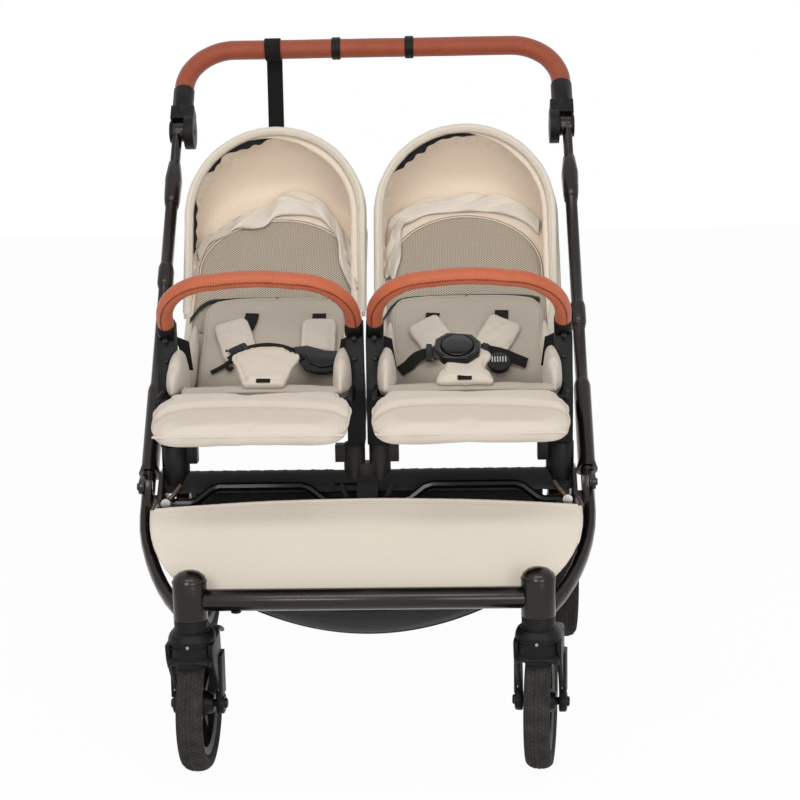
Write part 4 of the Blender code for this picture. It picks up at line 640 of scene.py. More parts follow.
def line_length(points):
    return sum((Vector(q) - Vector(p)).length for p, q in zip(points, points[1:]))


def curve_through(pairs, count):
    """Evenly spaced points of a smooth flat curve."""
    return evenly(smooth_line([(a, b, 0) for a, b in pairs]), count)


def vertex_values(made, key):
    values = np.empty(len(made.data.vertices) * 3)
    made.data.vertices.foreach_get(key, values)
    return values.reshape(-1, 3)


def coordinates(made):
    return vertex_values(made, "co")


def normals(made):
    return vertex_values(made, "normal")


def set_coordinates(made, co):
    made.data.vertices.foreach_set("co", np.asarray(co).ravel())
    made.data.update()


def press(made, line, depth, width, toward):
    """Sink a pad along a sewn line, on the side that faces toward."""
    line = evenly(line, max(8, int(line_length(line) / 0.0012)))
    tree = KDTree(len(line))
    for i, point in enumerate(line):
        tree.insert(point, i)
    tree.balance()
    co, no = coordinates(made), normals(made)
    facing = no @ np.array(toward)
    for i in np.nonzero(facing > 0.15)[0]:
        distance = tree.find(co[i])[2]
        if distance < width:
            co[i] -= np.array(toward) * depth * (1 - (distance / width) ** 2) ** 2
    set_coordinates(made, co)


def ripple(made, size, scale, seed):
    """Small uneven swells of a soft piece along its normals."""
    co, no = coordinates(made), normals(made)
    for i in range(len(co)):
        point = Vector(co[i]) * scale + Vector((seed, 0.0, -seed))
        co[i] += no[i] * size * noise.noise(point)
    set_coordinates(made, co)


def plane_uv(made, u, v):
    layer = made.data.uv_layers.get("UVMap") or made.data.uv_layers.new(name="UVMap")
    co = coordinates(made)
    pairs = np.stack([co @ np.array(u), co @ np.array(v)], axis=1)
    index = np.empty(len(made.data.loops), dtype=int)
    made.data.loops.foreach_get("vertex_index", index)
    layer.data.foreach_set("uv", pairs[index].ravel())


def thicken(made, thickness):
    modifier = made.modifiers.new("thickness", "SOLIDIFY")
    modifier.thickness = thickness
    modifier.offset = 0
    return bake(made)


def lay_sheet(name, shapes, mat, thickness, flat, held, rests_on, body, nodes=(), blend=None):
    """A sheet of cloth, thickened and placed. Its flat size, how it is held and what it lies on are not used."""
    made = thicken(piece(name, shapes, MATS[mat], 60), thickness)
    declare_sheet(made, *flat, held, rests_on)
    return place(made, body, mat, nodes, blend)


def declare_sheet(made, width, length, held, rests_on):
    """Work out the area that a sheet's mesh has, which is that of the flat cut."""
    area = sum(p.area for p in made.data.polygons)
    edges = {}
    for polygon in made.data.polygons:
        for key in polygon.edge_keys:
            edges[key] = edges.get(key, 0) + 1
    if all(faces == 2 for faces in edges.values()):
        area = area / 2


def repeat_group():
    """Geometry nodes that put one small object on every point, turned to the point's stored axes."""
    group = bpy.data.node_groups.new("repeat", "GeometryNodeTree")
    for name, in_out, kind in (("Points", "INPUT", "Geometry"), ("Block", "INPUT", "Object"),
                               ("Size jitter", "INPUT", "Float"), ("Finish", "INPUT", "Material"),
                               ("Repeats", "OUTPUT", "Geometry")):
        group.interface.new_socket(name, in_out=in_out, socket_type="NodeSocket" + kind)
    given = add(group, "NodeGroupInput")
    spin = add(group, "GeometryNodeInputNamedAttribute", {"Name": "turn"}, data_type="FLOAT_VECTOR")[0]
    block = add(group, "GeometryNodeObjectInfo", {"Object": given["Block"]})["Geometry"]
    low = add(group, "ShaderNodeMath", {0: 1.0, 1: given["Size jitter"]}, operation="SUBTRACT")[0]
    size = add(group, "FunctionNodeRandomValue", {2: low, 3: 1.0, "Seed": 7}, data_type="FLOAT")[1]
    rotation = add(group, "FunctionNodeEulerToRotation", {0: spin})[0]
    put = add(group, "GeometryNodeInstanceOnPoints", {"Points": given["Points"], "Instance": block,
                                                      "Rotation": rotation, "Scale": size})[0]
    real = add(group, "GeometryNodeRealizeInstances", {"Geometry": put})[0]
    done = add(group, "GeometryNodeSetMaterial", {"Geometry": real, "Material": given["Finish"]})[0]
    add(group, "NodeGroupOutput", {"Repeats": done})
    return group


REPEAT = repeat_group()


def repeats(name, shapes, spots, mat, body, blend=None):
    """Small equal pieces on many spots. A spot is a point, the way its length runs and the way its top faces."""
    block = piece(name + "_block", shapes, MATS[mat])
    mesh = bpy.data.meshes.new(name)
    mesh.from_pydata([spot[0] for spot in spots], [], [])
    turn = mesh.attributes.new("turn", "FLOAT_VECTOR", "POINT")
    for i, (_, along, top) in enumerate(spots):
        z = top.normalized()
        x = (along - z * along.dot(z)).normalized()
        turn.data[i].vector = Matrix((x, z.cross(x), z)).transposed().to_euler()
    made = linked(name, mesh)
    modifier = made.modifiers.new("repeat", "NODES")
    modifier.node_group = REPEAT
    names = {item.name: item.identifier for item in REPEAT.interface.items_tree if item.in_out == "INPUT"}
    modifier[names["Block"]] = block
    modifier[names["Size jitter"]] = 0.0
    modifier[names["Finish"]] = MATS[mat]
    bake(made)
    bpy.data.objects.remove(block)
    made.data.shade_smooth()
    made.data.set_sharp_from_angle(angle=radians(40))
    return place(made, body, mat, (), blend)


def stitch_shape(length, radius):
    """One sewn stitch: a short thread that dives into the cloth at both ends."""
    rings = []
    for t, size in ((-0.5, 0.25), (-0.3, 0.85), (0.0, 1.0), (0.3, 0.85), (0.5, 0.25)):
        sink = -radius * (2 * t) ** 2 * 1.6
        rings.append([Vector((t * length, radius * size * cos(a), sink + radius * size * sin(a)))
                      for a in [pi / 3 * k for k in range(6)]])
    return [skin(rings)]


def stitch_spots(line, top, pitch, slant):
    """Spots of a row of stitches. top is a direction or a function of the point."""
    line = evenly(line, max(2, int(line_length(line) / pitch)) + 1)
    spots = []
    for p, q in zip(line, line[1:]):
        middle = (p + q) / 2
        face = top(middle) if callable(top) else top
        along = (q - p).normalized()
        spots.append((middle, along + face.cross(along) * slant, face))
    return spots


def stitched(name, lines, top, mat, body, pitch, length, radius, slant=0.0):
    spots = [spot for line in lines for spot in stitch_spots(line, top, pitch, slant)]
    repeats(name, stitch_shape(length, radius), spots, mat, body)


def piping(name, line, radius, side, mat, body, blend=None):
    return show(name, [sweep(line, circle(radius, 10), side)], mat, body, smooth=60, blend=blend)


def screws(name, spots, radius, mat, body):
    """Pan head screws with a hexagon socket."""
    head = [(0.0, radius), (radius * 0.25, radius), (radius * 0.5, radius * 0.82), (radius * 0.55, radius * 0.5),
            (radius * 0.54, radius * 0.42), (radius * 0.15, radius * 0.4)]
    repeats(name, [turned(Vector((0, 0, 0)), Z_AXIS, head, 18)], spots, mat, body)


# Pads: remeshed, blown up as cloth all at once, then sewn and placed

def copy_of(node, name, mat, inset):
    """A solid's shape, drawn in a little to leave room for the swell."""
    made = solid_copy(node, name, mat, False)
    set_coordinates(made, coordinates(made) - normals(made) * inset)
    return made


def remesh(made, voxel):
    modifier = made.modifiers.new("voxels", "REMESH")
    modifier.mode = "VOXEL"
    modifier.voxel_size = voxel
    bake(made)
    made.data.shade_smooth()
    return made


def blow_up(pads):
    """Swell every pad with air pressure for 20 frames. A point moves at most its pad's cap."""
    scene = bpy.context.scene
    starts = [coordinates(made) for made, cap in pads]
    for made, cap in pads:
        cloth = made.modifiers.new("cloth", "CLOTH")
        cloth.settings.use_pressure = True
        cloth.settings.uniform_pressure_force = 4.0
        cloth.settings.effector_weights.gravity = 0.0
        cloth.point_cache.frame_start = 1
        cloth.point_cache.frame_end = 20
    for number in range(1, 21):
        scene.frame_set(number)
    for (made, cap), start in zip(pads, starts):
        bake(made)
        moved = coordinates(made) - start
        length = np.maximum(np.linalg.norm(moved, axis=1, keepdims=True), 1e-9)
        set_coordinates(made, start + moved * np.minimum(1.0, cap / length))
    scene.frame_set(1)
    for made, cap in pads:
        modifier = made.modifiers.new("fine", "SUBSURF")
        modifier.levels = 1
        modifier.render_levels = 1
        bake(made)
        made.data.shade_smooth()


# Canopies and backrests

def arch_band(mid_x, degrees, outline, section):
    """Rings of a section that follows an arch. Section pairs are (outward, towards the front)."""
    rings = []
    for i, (a, r) in enumerate(outline):
        before, after = outline[max(i - 1, 0)], outline[min(i + 1, len(outline) - 1)]
        t = Vector((after[0] - before[0], after[1] - before[1])).normalized()
        rings.append([hood_point(mid_x, a - t.y * u, r + t.x * u, degrees, v) for u, v in section])
    return rings


def hood_rim(which, mid_x):
    """The padded front edge of the canopy, with two sewn lines beside its inner edge."""
    section = [(0.0068, -0.004), (0.007, 0.0025), (0.0056, 0.0056), (0.002, 0.0068), (-0.0012, 0.0066),
               (-0.002, 0.0056), (-0.0028, 0.0066), (-0.0041, 0.0062), (-0.0048, 0.0051), (-0.0056, 0.0052),
               (-0.0069, 0.003), (-0.007, -0.0038), (-0.004, -0.0062), (0.004, -0.0062)]
    outline = arch_outline(HOOD_HALF - 0.0072, HOOD_LEG, foot=-0.004, arc_steps=72, leg_steps=16)
    rings = arch_band(mid_x, RIM_DEGREES, outline, section)
    made = piece("hood_rim_" + which, [skin(rings)], MATS["cream"], 60)
    ripple(made, 0.0007, 55, mid_x * 10)
    place(made, "hood_" + which, "cream", ["hood_front_" + which])
    lines = []
    for inset in (0.0088, 0.0116):
        run = arch_outline(HOOD_HALF - inset, HOOD_LEG, foot=0.01, arc_steps=72)
        lines.append([hood_point(mid_x, a, r, RIM_DEGREES, 0.0064) for a, r in run])
    face = Vector((0, -sin(radians(RIM_DEGREES)), cos(radians(RIM_DEGREES))))
    stitched("hood_rim_stitches_" + which, lines, face, "thread", "hood_" + which, 0.004, 0.0028,
             0.00035)


def hood_cover(which, mid_x):
    """The canopy cloth: one curved sheet from the rim back to the backrest, loose between the two."""
    rows = []
    steps = 44
    outline = arch_outline(HOOD_HALF, HOOD_LEG, foot=-0.01, arc_steps=64, leg_steps=16)
    for i in range(steps + 1):
        degrees = 70.0 - 29.5 * i / steps
        slack = sin(pi * i / steps)
        row = []
        for a, r in outline:
            across = Vector((a * 7, r * 7, degrees * 0.05))
            fold = 0.003 * noise.noise(across + Vector((mid_x * 30, 0, 0))) + \
                0.0016 * sin(degrees * 0.9 + 3.0 * a * 20) * slack
            inward = 0.0008 + 0.0042 * slack - fold * slack
            if which == "right" and a > 0.09:
                inward -= 0.009 * slack * min(1.0, (a - 0.09) / 0.05)
            row.append(arch_point(mid_x, a, r, inward, degrees))
        rows.append(row)
    blend = hood_blend(which, mid_x)
    lay_sheet("hood_cover_" + which, [cloth(rows)], "cream", 0.0012, (0.78, 0.2), "stretched",
              ["hood_rim_" + which, "back_shell_" + which], None, ["hood_rear_" + which], blend)
    seam = []
    for degrees, lift in ((66.0, 0.0006), (51.0, -0.0022)):
        outline = arch_outline(HOOD_HALF + lift, HOOD_LEG, foot=0.0, arc_steps=64, leg_steps=16)
        seam.append(sweep([hood_point(mid_x, a, r, degrees) for a, r in outline], circle(0.0011, 8), X_AXIS))
    show("hood_seam_" + which, seam, "cream", None, smooth=60, blend=blend)


WINDOW_FOOT = -0.03
WINDOW = {"left": arch_outline(0.133, 0.085, 0.118, WINDOW_FOOT, 12, 64),
          "right": arch_outline(0.131, 0.08, 0.126, WINDOW_FOOT, 12, 64)}
SEAM_SHARE = {"left": 0.75, "right": 0.55}
CEILING_SHARE = 0.45


def hood_lining(which, mid_x):
    """The lining: a ruffled strip behind the rim, the ceiling, and the upper back down to the mesh window."""
    rows = []
    front = arch_outline(HOOD_HALF - 0.01, HOOD_LEG, None, -0.005, 12, 64)
    for i in range(9):
        degrees = RUFFLE_DEGREES - (RUFFLE_DEGREES - CEILING_DEGREES) * i / 8
        hold = sin(pi * (i + 1.0) / 10)
        row = []
        travel = 0.0
        for j, (a, r) in enumerate(front):
            travel += hypot(a - front[j - 1][0], r - front[j - 1][1]) if j else 0.0
            wave = sin(travel * 2 * pi / 0.021 + 2.2 * sin(travel * 31 + mid_x * 40))
            inward = 0.003 * wave * hold + 0.004 * (i / 8) + 0.0032 * hold
            row.append(arch_point(mid_x, a, r, inward, degrees))
        rows.append(row)
    runs = []
    for (a, r), (b, q) in zip(front, WINDOW[which]):
        start = arch_point(mid_x, a, r, 0.004, CEILING_DEGREES)
        up = HOOD_LEG + (r - HOOD_LEG) * 0.97 if r > HOOD_LEG else r
        runs.append((start, back_point(mid_x, a * 0.97, HOOD_PIVOT_S + up, 0.008),
                     back_point(mid_x, b, HOOD_PIVOT_S + q, 0.0075)))
    for i in range(1, 29):
        turn = pi / 2 * min(1.0, i / 16)
        row = []
        for start, corner, end in runs:
            if i <= 16:
                point = corner + (start - corner) * (1 - sin(turn)) + \
                    (end - corner) * CEILING_SHARE * (1 - cos(turn))
            else:
                point = corner.lerp(end, CEILING_SHARE + (1 - CEILING_SHARE) * (i - 16) / 12)
            swell = noise.noise(Vector((point.x * 17, i * 0.16, mid_x * 21)))
            row.append(point + BACK_NORMAL * (0.003 * swell * sin(pi * i / 29)))
        rows.append(row)
    blend = hood_blend(which, mid_x)
    lay_sheet("hood_lining_" + which, [cloth(rows)], "lining", 0.001, (0.72, 0.3), "stretched",
              ["hood_rim_" + which, "back_shell_" + which], None, (), blend)
    line = [arch_point(mid_x, a, r, 0.0046, CEILING_DEGREES) for a, r in front[10:-10]]
    show("hood_lining_seam_" + which, [sweep(line, circle(0.0013, 8), X_AXIS)], "lining", None, smooth=60,
         blend=blend)
    arc = [corner.lerp(end, SEAM_SHARE[which]) + BACK_NORMAL * 0.001 for start, corner, end in runs[13:-13]]
    piping("back_seam_" + which, arc, 0.0013, BACK_NORMAL, "lining", "backrest_" + which)


# Crescents of black elastic as (share along the rim, width) pairs. Their widths also take in the gaps' shadow,
# as painted shade
BINDING_AND_GAP_SHADE = {
    "left": [[(0.105, 0.0), (0.125, 0.0075), (0.225, 0.007), (0.25, 0.0)],
             [(0.312, 0.0), (0.325, 0.007), (0.35, 0.0065), (0.362, 0.0)],
             [(0.376, 0.0), (0.41, 0.011), (0.455, 0.012), (0.49, 0.0035), (0.515, 0.0)]],
    "right": [[(0.305, 0.0), (0.33, 0.01), (0.395, 0.0125), (0.43, 0.006), (0.515, 0.0055), (0.535, 0.0)],
              [(0.572, 0.0), (0.583, 0.005), (0.596, 0.0)], [(0.7, 0.0), (0.713, 0.004), (0.726, 0.0)],
              [(0.845, 0.0), (0.862, 0.0045), (0.885, 0.004), (0.9, 0.0)]]}


def hood_binding_and_gap_shade(which, mid_x):
    """The black elastic behind the rim, partly painted shade. It shows in a few crescents where the lining's
    ruffle gapes, as wide as the shadow in the gaps.
    """
    outline = arch_outline(HOOD_HALF - 0.0135, HOOD_LEG, foot=0.02, arc_steps=96)
    line = evenly([Vector((a, r, 0)) for a, r in outline], 401)
    strips = []
    for widths in BINDING_AND_GAP_SHADE[which]:
        first, last = round(widths[0][0] * 400), round(widths[-1][0] * 400)
        rows = [[] for _ in range(4)]
        for j in range(first, last + 1):
            wide = float(np.interp(j / 400, [share for share, _ in widths], [width for _, width in widths]))
            wide = max(0.0008, wide * (1 + 0.18 * sin(j * 0.45)))
            for i, row in enumerate(rows):
                row.append(arch_point(mid_x, line[j].x, line[j].y, wide * i / 3 - 0.0012, 68.0,
                                      -0.0012 * sin(pi * i / 3)))
        strips.append(cloth(rows))
    lay_sheet("hood_binding_" + which, strips, "felt", 0.001, (0.3, 0.012), "stretched",
              ["hood_rim_" + which], "hood_" + which)


ROLL = {"left": (0.44, 1.0, 0.0072), "right": (0.5, 1.0, 0.006)}


def hood_roll(which, mid_x):
    """The second padded roll behind the rim, which shows inside the canopy's right half."""
    start, end, radius = ROLL[which]
    outline = arch_outline(HOOD_HALF, HOOD_LEG, foot=0.004, arc_steps=96)
    outline = evenly([Vector((a, r, 0)) for a, r in outline], 201)
    first, last = round(start * 200), round(end * 200)
    line, sizes = [], []
    for j in range(first, last + 1):
        share = (j - first) / (last - first)
        size = min(1.0, 0.15 + share * 3.0) * min(1.0, 0.6 + (1 - share) * 8)
        line.append(arch_point(mid_x, outline[j].x, outline[j].y, 0.0105 + radius * size, 68.6 - 0.6 * size))
        sizes.append(size)
    section = [(radius * cos(t) * 0.8, radius * sin(t)) for t in turns(20)]
    outward = hood_point(0, 0, 1, 158) - hood_point(0, 0, 0, 158)
    made = piece("hood_roll_" + which, [sweep(line, section, outward, sizes)], MATS["lining"], 60)
    ripple(made, 0.0009, 45, mid_x * 9)
    place(made, "hood_" + which, "lining")


def back_shell(which, mid_x):
    """The backrest panel with its cloth cover, cream behind."""
    half, foot_half = HOOD_HALF - 0.006, 0.1255
    outline = [(-foot_half, -0.006), (-foot_half, 0.085), (-half, 0.13)]
    outline += [(a, HOOD_PIVOT_S + r) for a, r in arch_outline(half, 0.166, None, 0.06, 6, 40)
                if HOOD_PIVOT_S + r > 0.15]
    outline += [(half, 0.13), (foot_half, 0.085), (foot_half, -0.006)]
    rings = []
    for n, inset in ((-0.0065, 0.006), (-0.0062, 0.002), (-0.0045, 0.0), (0.0035, 0.0), (0.0052, 0.003)):
        rings.append([back_point(mid_x, a * (1 - inset / half), 0.25 + (s - 0.25) * (1 - inset / 0.25), n)
                      for a, s in outline])
    made = piece("back_shell_" + which, [skin(rings)], MATS["cream"], 50)
    plane_uv(made, X_AXIS, BACK_DIR)
    place(made, "backrest_" + which, "cream", ["backrest_panel_" + which])
    pins = [turned(back_point(mid_x, hand * 0.125, 0.0), X_AXIS * hand, [(0, 0.0075), (0.0303, 0.0075)], 28)
            for hand in (-1, 1)]
    show("recline_pin_" + which, pins, "nylon", "backrest_" + which)


def window_half(which, s):
    """Half the width of the mesh window at a height."""
    right = [p for p in WINDOW[which] if p[0] > 0][::-1]
    return float(np.interp(s - HOOD_PIVOT_S, [p[1] for p in right], [p[0] for p in right]))


def mesh_window(which, mid_x):
    """The ventilated panel behind the child, with two lines of piping over its top edge."""
    rows = []
    top = HOOD_PIVOT_S + max(r for _, r in WINDOW[which])
    for i in range(31):
        s = 0.15 + (top - 0.001 - 0.15) * i / 30
        half = window_half(which, s)
        rows.append([back_point(mid_x, half * (2 * j / 24 - 1), s,
                                0.0066 + 0.0022 * sin(pi * i / 30) * (1 - (2 * j / 24 - 1) ** 2))
                     for j in range(25)])
    made = piece("mesh_window_" + which, [cloth(rows)], MATS["mesh"], 60)
    plane_uv(made, X_AXIS, BACK_DIR)
    thicken(made, 0.0012)
    declare_sheet(made, 0.27, 0.26, "stretched", ["back_shell_" + which])
    place(made, "backrest_" + which, "mesh")
    for number, (grow, radius) in enumerate(((0.0005, 0.0014), (0.0052, 0.0012))):
        line = []
        for a, r in WINDOW[which][8:-8]:
            length = hypot(a, max(r, 0.0)) or 1.0
            line.append(back_point(mid_x, a * (1 - grow / length),
                                   HOOD_PIVOT_S + r - grow * max(r, 0) / length, 0.0092))
        piping(f"window_piping_{number + 1}_{which}", line, radius, BACK_NORMAL, "lining",
               "backrest_" + which)


FLAP_UPPER = {
    "left": [(-0.139, 0.322), (-0.103, 0.365), (-0.06, 0.399), (-0.02, 0.433), (0.011, 0.467), (0.053, 0.454),
             (0.072, 0.434), (0.096, 0.395), (0.116, 0.351), (0.133, 0.305), (0.142, 0.229)],
    "right": [(-0.134, 0.255), (-0.137, 0.288), (-0.134, 0.334), (-0.128, 0.39), (-0.101, 0.418),
              (-0.067, 0.438), (-0.009, 0.447), (0.062, 0.445), (0.105, 0.418), (0.128, 0.385)]}
FLAP_LOWER = {
    "left": [(-0.131, 0.306), (-0.116, 0.343), (-0.092, 0.361), (-0.073, 0.378), (-0.045, 0.377),
             (-0.025, 0.382), (-0.006, 0.405), (0.022, 0.409), (0.054, 0.405), (0.078, 0.389), (0.1, 0.348),
             (0.106, 0.292), (0.13, 0.226)],
    "right": [(-0.119, 0.252), (-0.114, 0.278), (-0.108, 0.309), (-0.107, 0.372), (-0.09, 0.388),
              (-0.067, 0.403), (-0.033, 0.408), (0.025, 0.41), (0.07, 0.402), (0.104, 0.382), (0.124, 0.352)]}


def gathered_flap(which, mid_x):
    """The rolled-up sun flap that hangs in loose folds over the top of the mesh window."""
    upper, lower = (curve_through(pairs[which], 97) for pairs in (FLAP_UPPER, FLAP_LOWER))
    rows = []
    for i in range(21):
        share = i / 20
        belly = sin(pi * share) ** 0.7
        row = []
        for j in range(97):
            p = upper[j].lerp(lower[j], share)
            run = j / 96
            wave = 2 * pi * (share * 1.7 + 1.1 * sin(run * 7.0 + mid_x * 8))
            pleat = 0.006 * (1 - abs(sin(wave / 2)) * 2)
            crease = 0.009 * noise.noise(Vector((run * 8.0, share * 1.8 + run * 4.0, mid_x * 25)))
            row.append(back_point(mid_x, p.x, p.y, 0.0125 + 0.012 * belly + (pleat + crease) * belly))
        rows.append(row)
    lay_sheet("sun_flap_" + which, [cloth(rows)], "flap", 0.001, (0.45, 0.085), "gathered",
              ["back_shell_" + which], "backrest_" + which)


# Painted shade: the dark gap above the seat liner's top, as (across, up) on the backrest
LINER_GAP_SHADE_OUTLINE = [(-0.136, 0.165), (-0.118, 0.198), (-0.09, 0.211), (0.0, 0.213), (0.06, 0.211), (0.1, 0.208),
           (0.12, 0.202)]


def painted_liner_gap_shade(which, mid_x):
    """Painted shade: a black strip for the dark gap above the seat liner's top, wider at its left end on the
    left seat.
    """
    line = curve_through(LINER_GAP_SHADE_OUTLINE, 61)
    rows = []
    for i in range(4):
        row = []
        for j, p in enumerate(line):
            run = j / 60
            wide = 0.0065 + 0.006 * max(0.0, 1 - run * 3.5)
            if which == "right":
                wide = 0.006 + 0.006 * max(0.0, run - 0.3)
            row.append(back_point(mid_x, p.x, p.y + wide * i / 3, 0.0125 + 0.0012 * sin(pi * i / 3)))
        rows.append(row)
    lay_sheet("liner_elastic_" + which, [cloth(rows)], "felt", 0.0012, (0.28, 0.012), "stretched",
              ["back_shell_" + which], "backrest_" + which)


# Seat liner and side pads

def liner_path():
    """(back, height) points along the top face of the seat liner, from its front edge to its top edge."""
    seat = ((-0.0035, -0.01), (0.002, -0.001), (0.012, 0.0022), (0.045, 0.0035), (0.085, 0.003), (0.118, 0.0026),
            (0.139, 0.006))
    back = ((0.022, 0.03), (0.05, 0.03), (0.095, 0.03), (0.15, 0.0295), (0.19, 0.028), (0.207, 0.0235))
    points = [seat_point(0, 0, s, n) for s, n in seat] + [back_point(0, 0, s, n) for s, n in back]
    return evenly(smooth_line(points, 10), 72)


def liner_rings(mid_x, inset=0.0):
    """Cross-sections of the liner: crowned on top, round at the sides, narrower over its rounded top corners."""
    half, thickness, corner, crown = (0.1125 if mid_x < 0 else 0.1195), 0.015, 0.04, 0.0028
    path = liner_path()
    total = line_length(path)
    rings = []
    travelled = 0.0
    for i, point in enumerate(path):
        travelled += (path[i] - path[i - 1]).length if i else 0.0
        tangent = (path[min(i + 1, len(path) - 1)] - path[max(i - 1, 0)]).normalized()
        up = tangent.cross(X_AXIS) * -1
        rest = total - travelled
        narrow = corner - sqrt(max(0.0, corner ** 2 - (corner - rest) ** 2)) if rest < corner else 0.0
        deep = thickness * (min(1.0, 0.35 + rest / 0.014) * min(1.0, 0.45 + travelled / 0.012))
        wide = half - narrow * 0.8 - inset

        def spot(x, drop):
            return Vector((x, point.y, point.z)) - up * drop

        angles = [pi * k / 6 for k in range(1, 6)]
        top = [spot(mid_x + wide * t, crown - crown * (1 - abs(t) ** 3))
               for t in [k / 16 - 1 for k in range(33)]]
        right = [spot(mid_x + wide + sin(a) * deep * 0.32, crown + deep * (1 - cos(a)) / 2) for a in angles]
        foot = [spot(mid_x + wide * t, deep + crown) for t in [1 - k / 16 for k in range(33)]]
        left = [spot(mid_x - wide - sin(a) * deep * 0.32, crown + deep * (1 + cos(a)) / 2) for a in angles]
        rings.append(top + right + foot + left)
    return rings


SLOTS_AT = {"left": (-0.032, 0.077), "right": (-0.055, 0.056)}


def seat_liner(which, mid_x):
    """The padded liner that lies over the seat and the lower backrest, with slots for the harness."""
    blend = ("seat_" + which, "backrest_" + which,
             seat_point(mid_x, 0, 0.12, 0), back_point(mid_x, 0, 0.045, 0.015))
    middle_x = mid_x + 0.006 if which == "left" else mid_x
    made = piece("seat_liner_" + which, [skin(liner_rings(middle_x))], MATS["liner"], 60)
    ripple(made, 0.0016, 17, 3 + mid_x * 10)
    ripple(made, 0.0007, 48, 9 + mid_x * 10)
    crease = [back_point(mid_x, -0.1 + 0.2 * k / 20, 0.004 + 0.003 * sin(k), 0.03) for k in range(21)]
    press(made, crease, 0.003, 0.012, BACK_NORMAL)
    for a in SLOTS_AT[which]:
        slot = [back_point(mid_x, a - 0.012, 0.176, 0.03), back_point(mid_x, a + 0.012, 0.176, 0.03)]
        press(made, slot, 0.0026, 0.022, BACK_NORMAL)
    place(made, None, "liner", ["backrest_pad_" + which, "seat_cover_" + which], blend)
    outline = liner_rings(middle_x, 0.001)
    edge = [ring[0] for ring in outline][2:-1] + outline[-1][1:32] + [ring[32] for ring in outline][2:-1][::-1]
    piping("liner_piping_" + which, evenly(smooth_line(edge, 2), 260), 0.0021, X_AXIS, "liner", None, blend)


# A bolster: along the seat, height, share of the full thickness.
# A wing: up the backrest, out from it, half its height, share of the full thickness.
BOLSTER = [(-0.004, 0.004, 0.1), (0.006, 0.022, 0.45), (0.022, 0.043, 0.8), (0.045, 0.058, 0.98),
           (0.07, 0.067, 1.0), (0.094, 0.068, 0.92), (0.114, 0.062, 0.7), (0.128, 0.05, 0.3)]
WING = [(-0.012, 0.018, 0.01, 0.4), (0.000, 0.022, 0.018, 0.8), (0.03, 0.026, 0.024, 1.0),
        (0.08, 0.027, 0.024, 1.0), (0.12, 0.025, 0.02, 0.85), (0.15, 0.02, 0.012, 0.45)]


def side_pads(which, mid_x):
    """Bolsters that stand beside the seat and the lower backrest. Both are blown up with the other pads."""
    made = []
    for hand_name, hand in SIDES:
        rings = []
        for s, tall, thick in BOLSTER:
            ring = []
            for t in turns(20):
                u = copysign(abs(cos(t)) ** 0.9, cos(t)) * 0.0125 * thick
                v = sin(t) * (0.5 * (tall + 0.014))
                ring.append(seat_point(mid_x, hand * 0.1245 + u, s, 0.5 * (tall - 0.014) + v))
            rings.append(ring)
        low = piece(f"seat_bolster_{which}_{hand_name}", [skin(rings)], MATS["cream_pad"], 180)
        made.append((remesh(low, 0.0045), 0.0045, "seat_" + which))
        rings = [[back_point(mid_x, hand * 0.1235 + cos(t) * 0.0066 * thick, s, n + sin(t) * reach)
                  for t in turns(20)] for s, n, reach, thick in WING]
        wing = piece(f"back_wing_{which}_{hand_name}", [skin(rings)], MATS["cream_pad"], 180)
        made.append((remesh(wing, 0.004), 0.003, "backrest_" + which))
    return made


def side_gusset(which, mid_x, hand_name, hand):
    """The black cloth that joins the seat's bolster to the backrest's wing."""
    rows = []
    for i in range(9):
        share = i / 8
        inner, outer = 0.1185 - 0.007 * share, 0.1385 - 0.0185 * share ** 1.3
        rows.append([seat_point(mid_x, hand * (inner + (outer - inner) * j / 4), 0.129 - 0.001 * j,
                                0.095 - 0.053 * share - 0.008 * (1 - share) * (1 - j / 4)) for j in range(5)])
    lay_sheet(f"side_gusset_{which}_{hand_name}", [cloth(rows)], "webbing", 0.0014, (0.018, 0.047),
              "stretched", [f"seat_bolster_{which}_{hand_name}"], "seat_" + which)


def finish_side_pad(made, body, seed):
    ripple(made, 0.0012, 40, seed)
    cube_uv(made)
    place(made, body, "cream_pad")


CALF_SEAM = [(-0.139, 0.062), (-0.13, 0.054), (-0.11, 0.043), (-0.09, 0.038), (-0.048, 0.035), (-0.005, 0.035),
             (0.037, 0.037), (0.08, 0.041), (0.112, 0.047), (0.139, 0.055)]


def calf_pad(which):
    made = copy_of("calf_rest_" + which, "calf_pad_" + which, "cream_pad", 0.003)
    return remesh(made, 0.0045), 0.0055


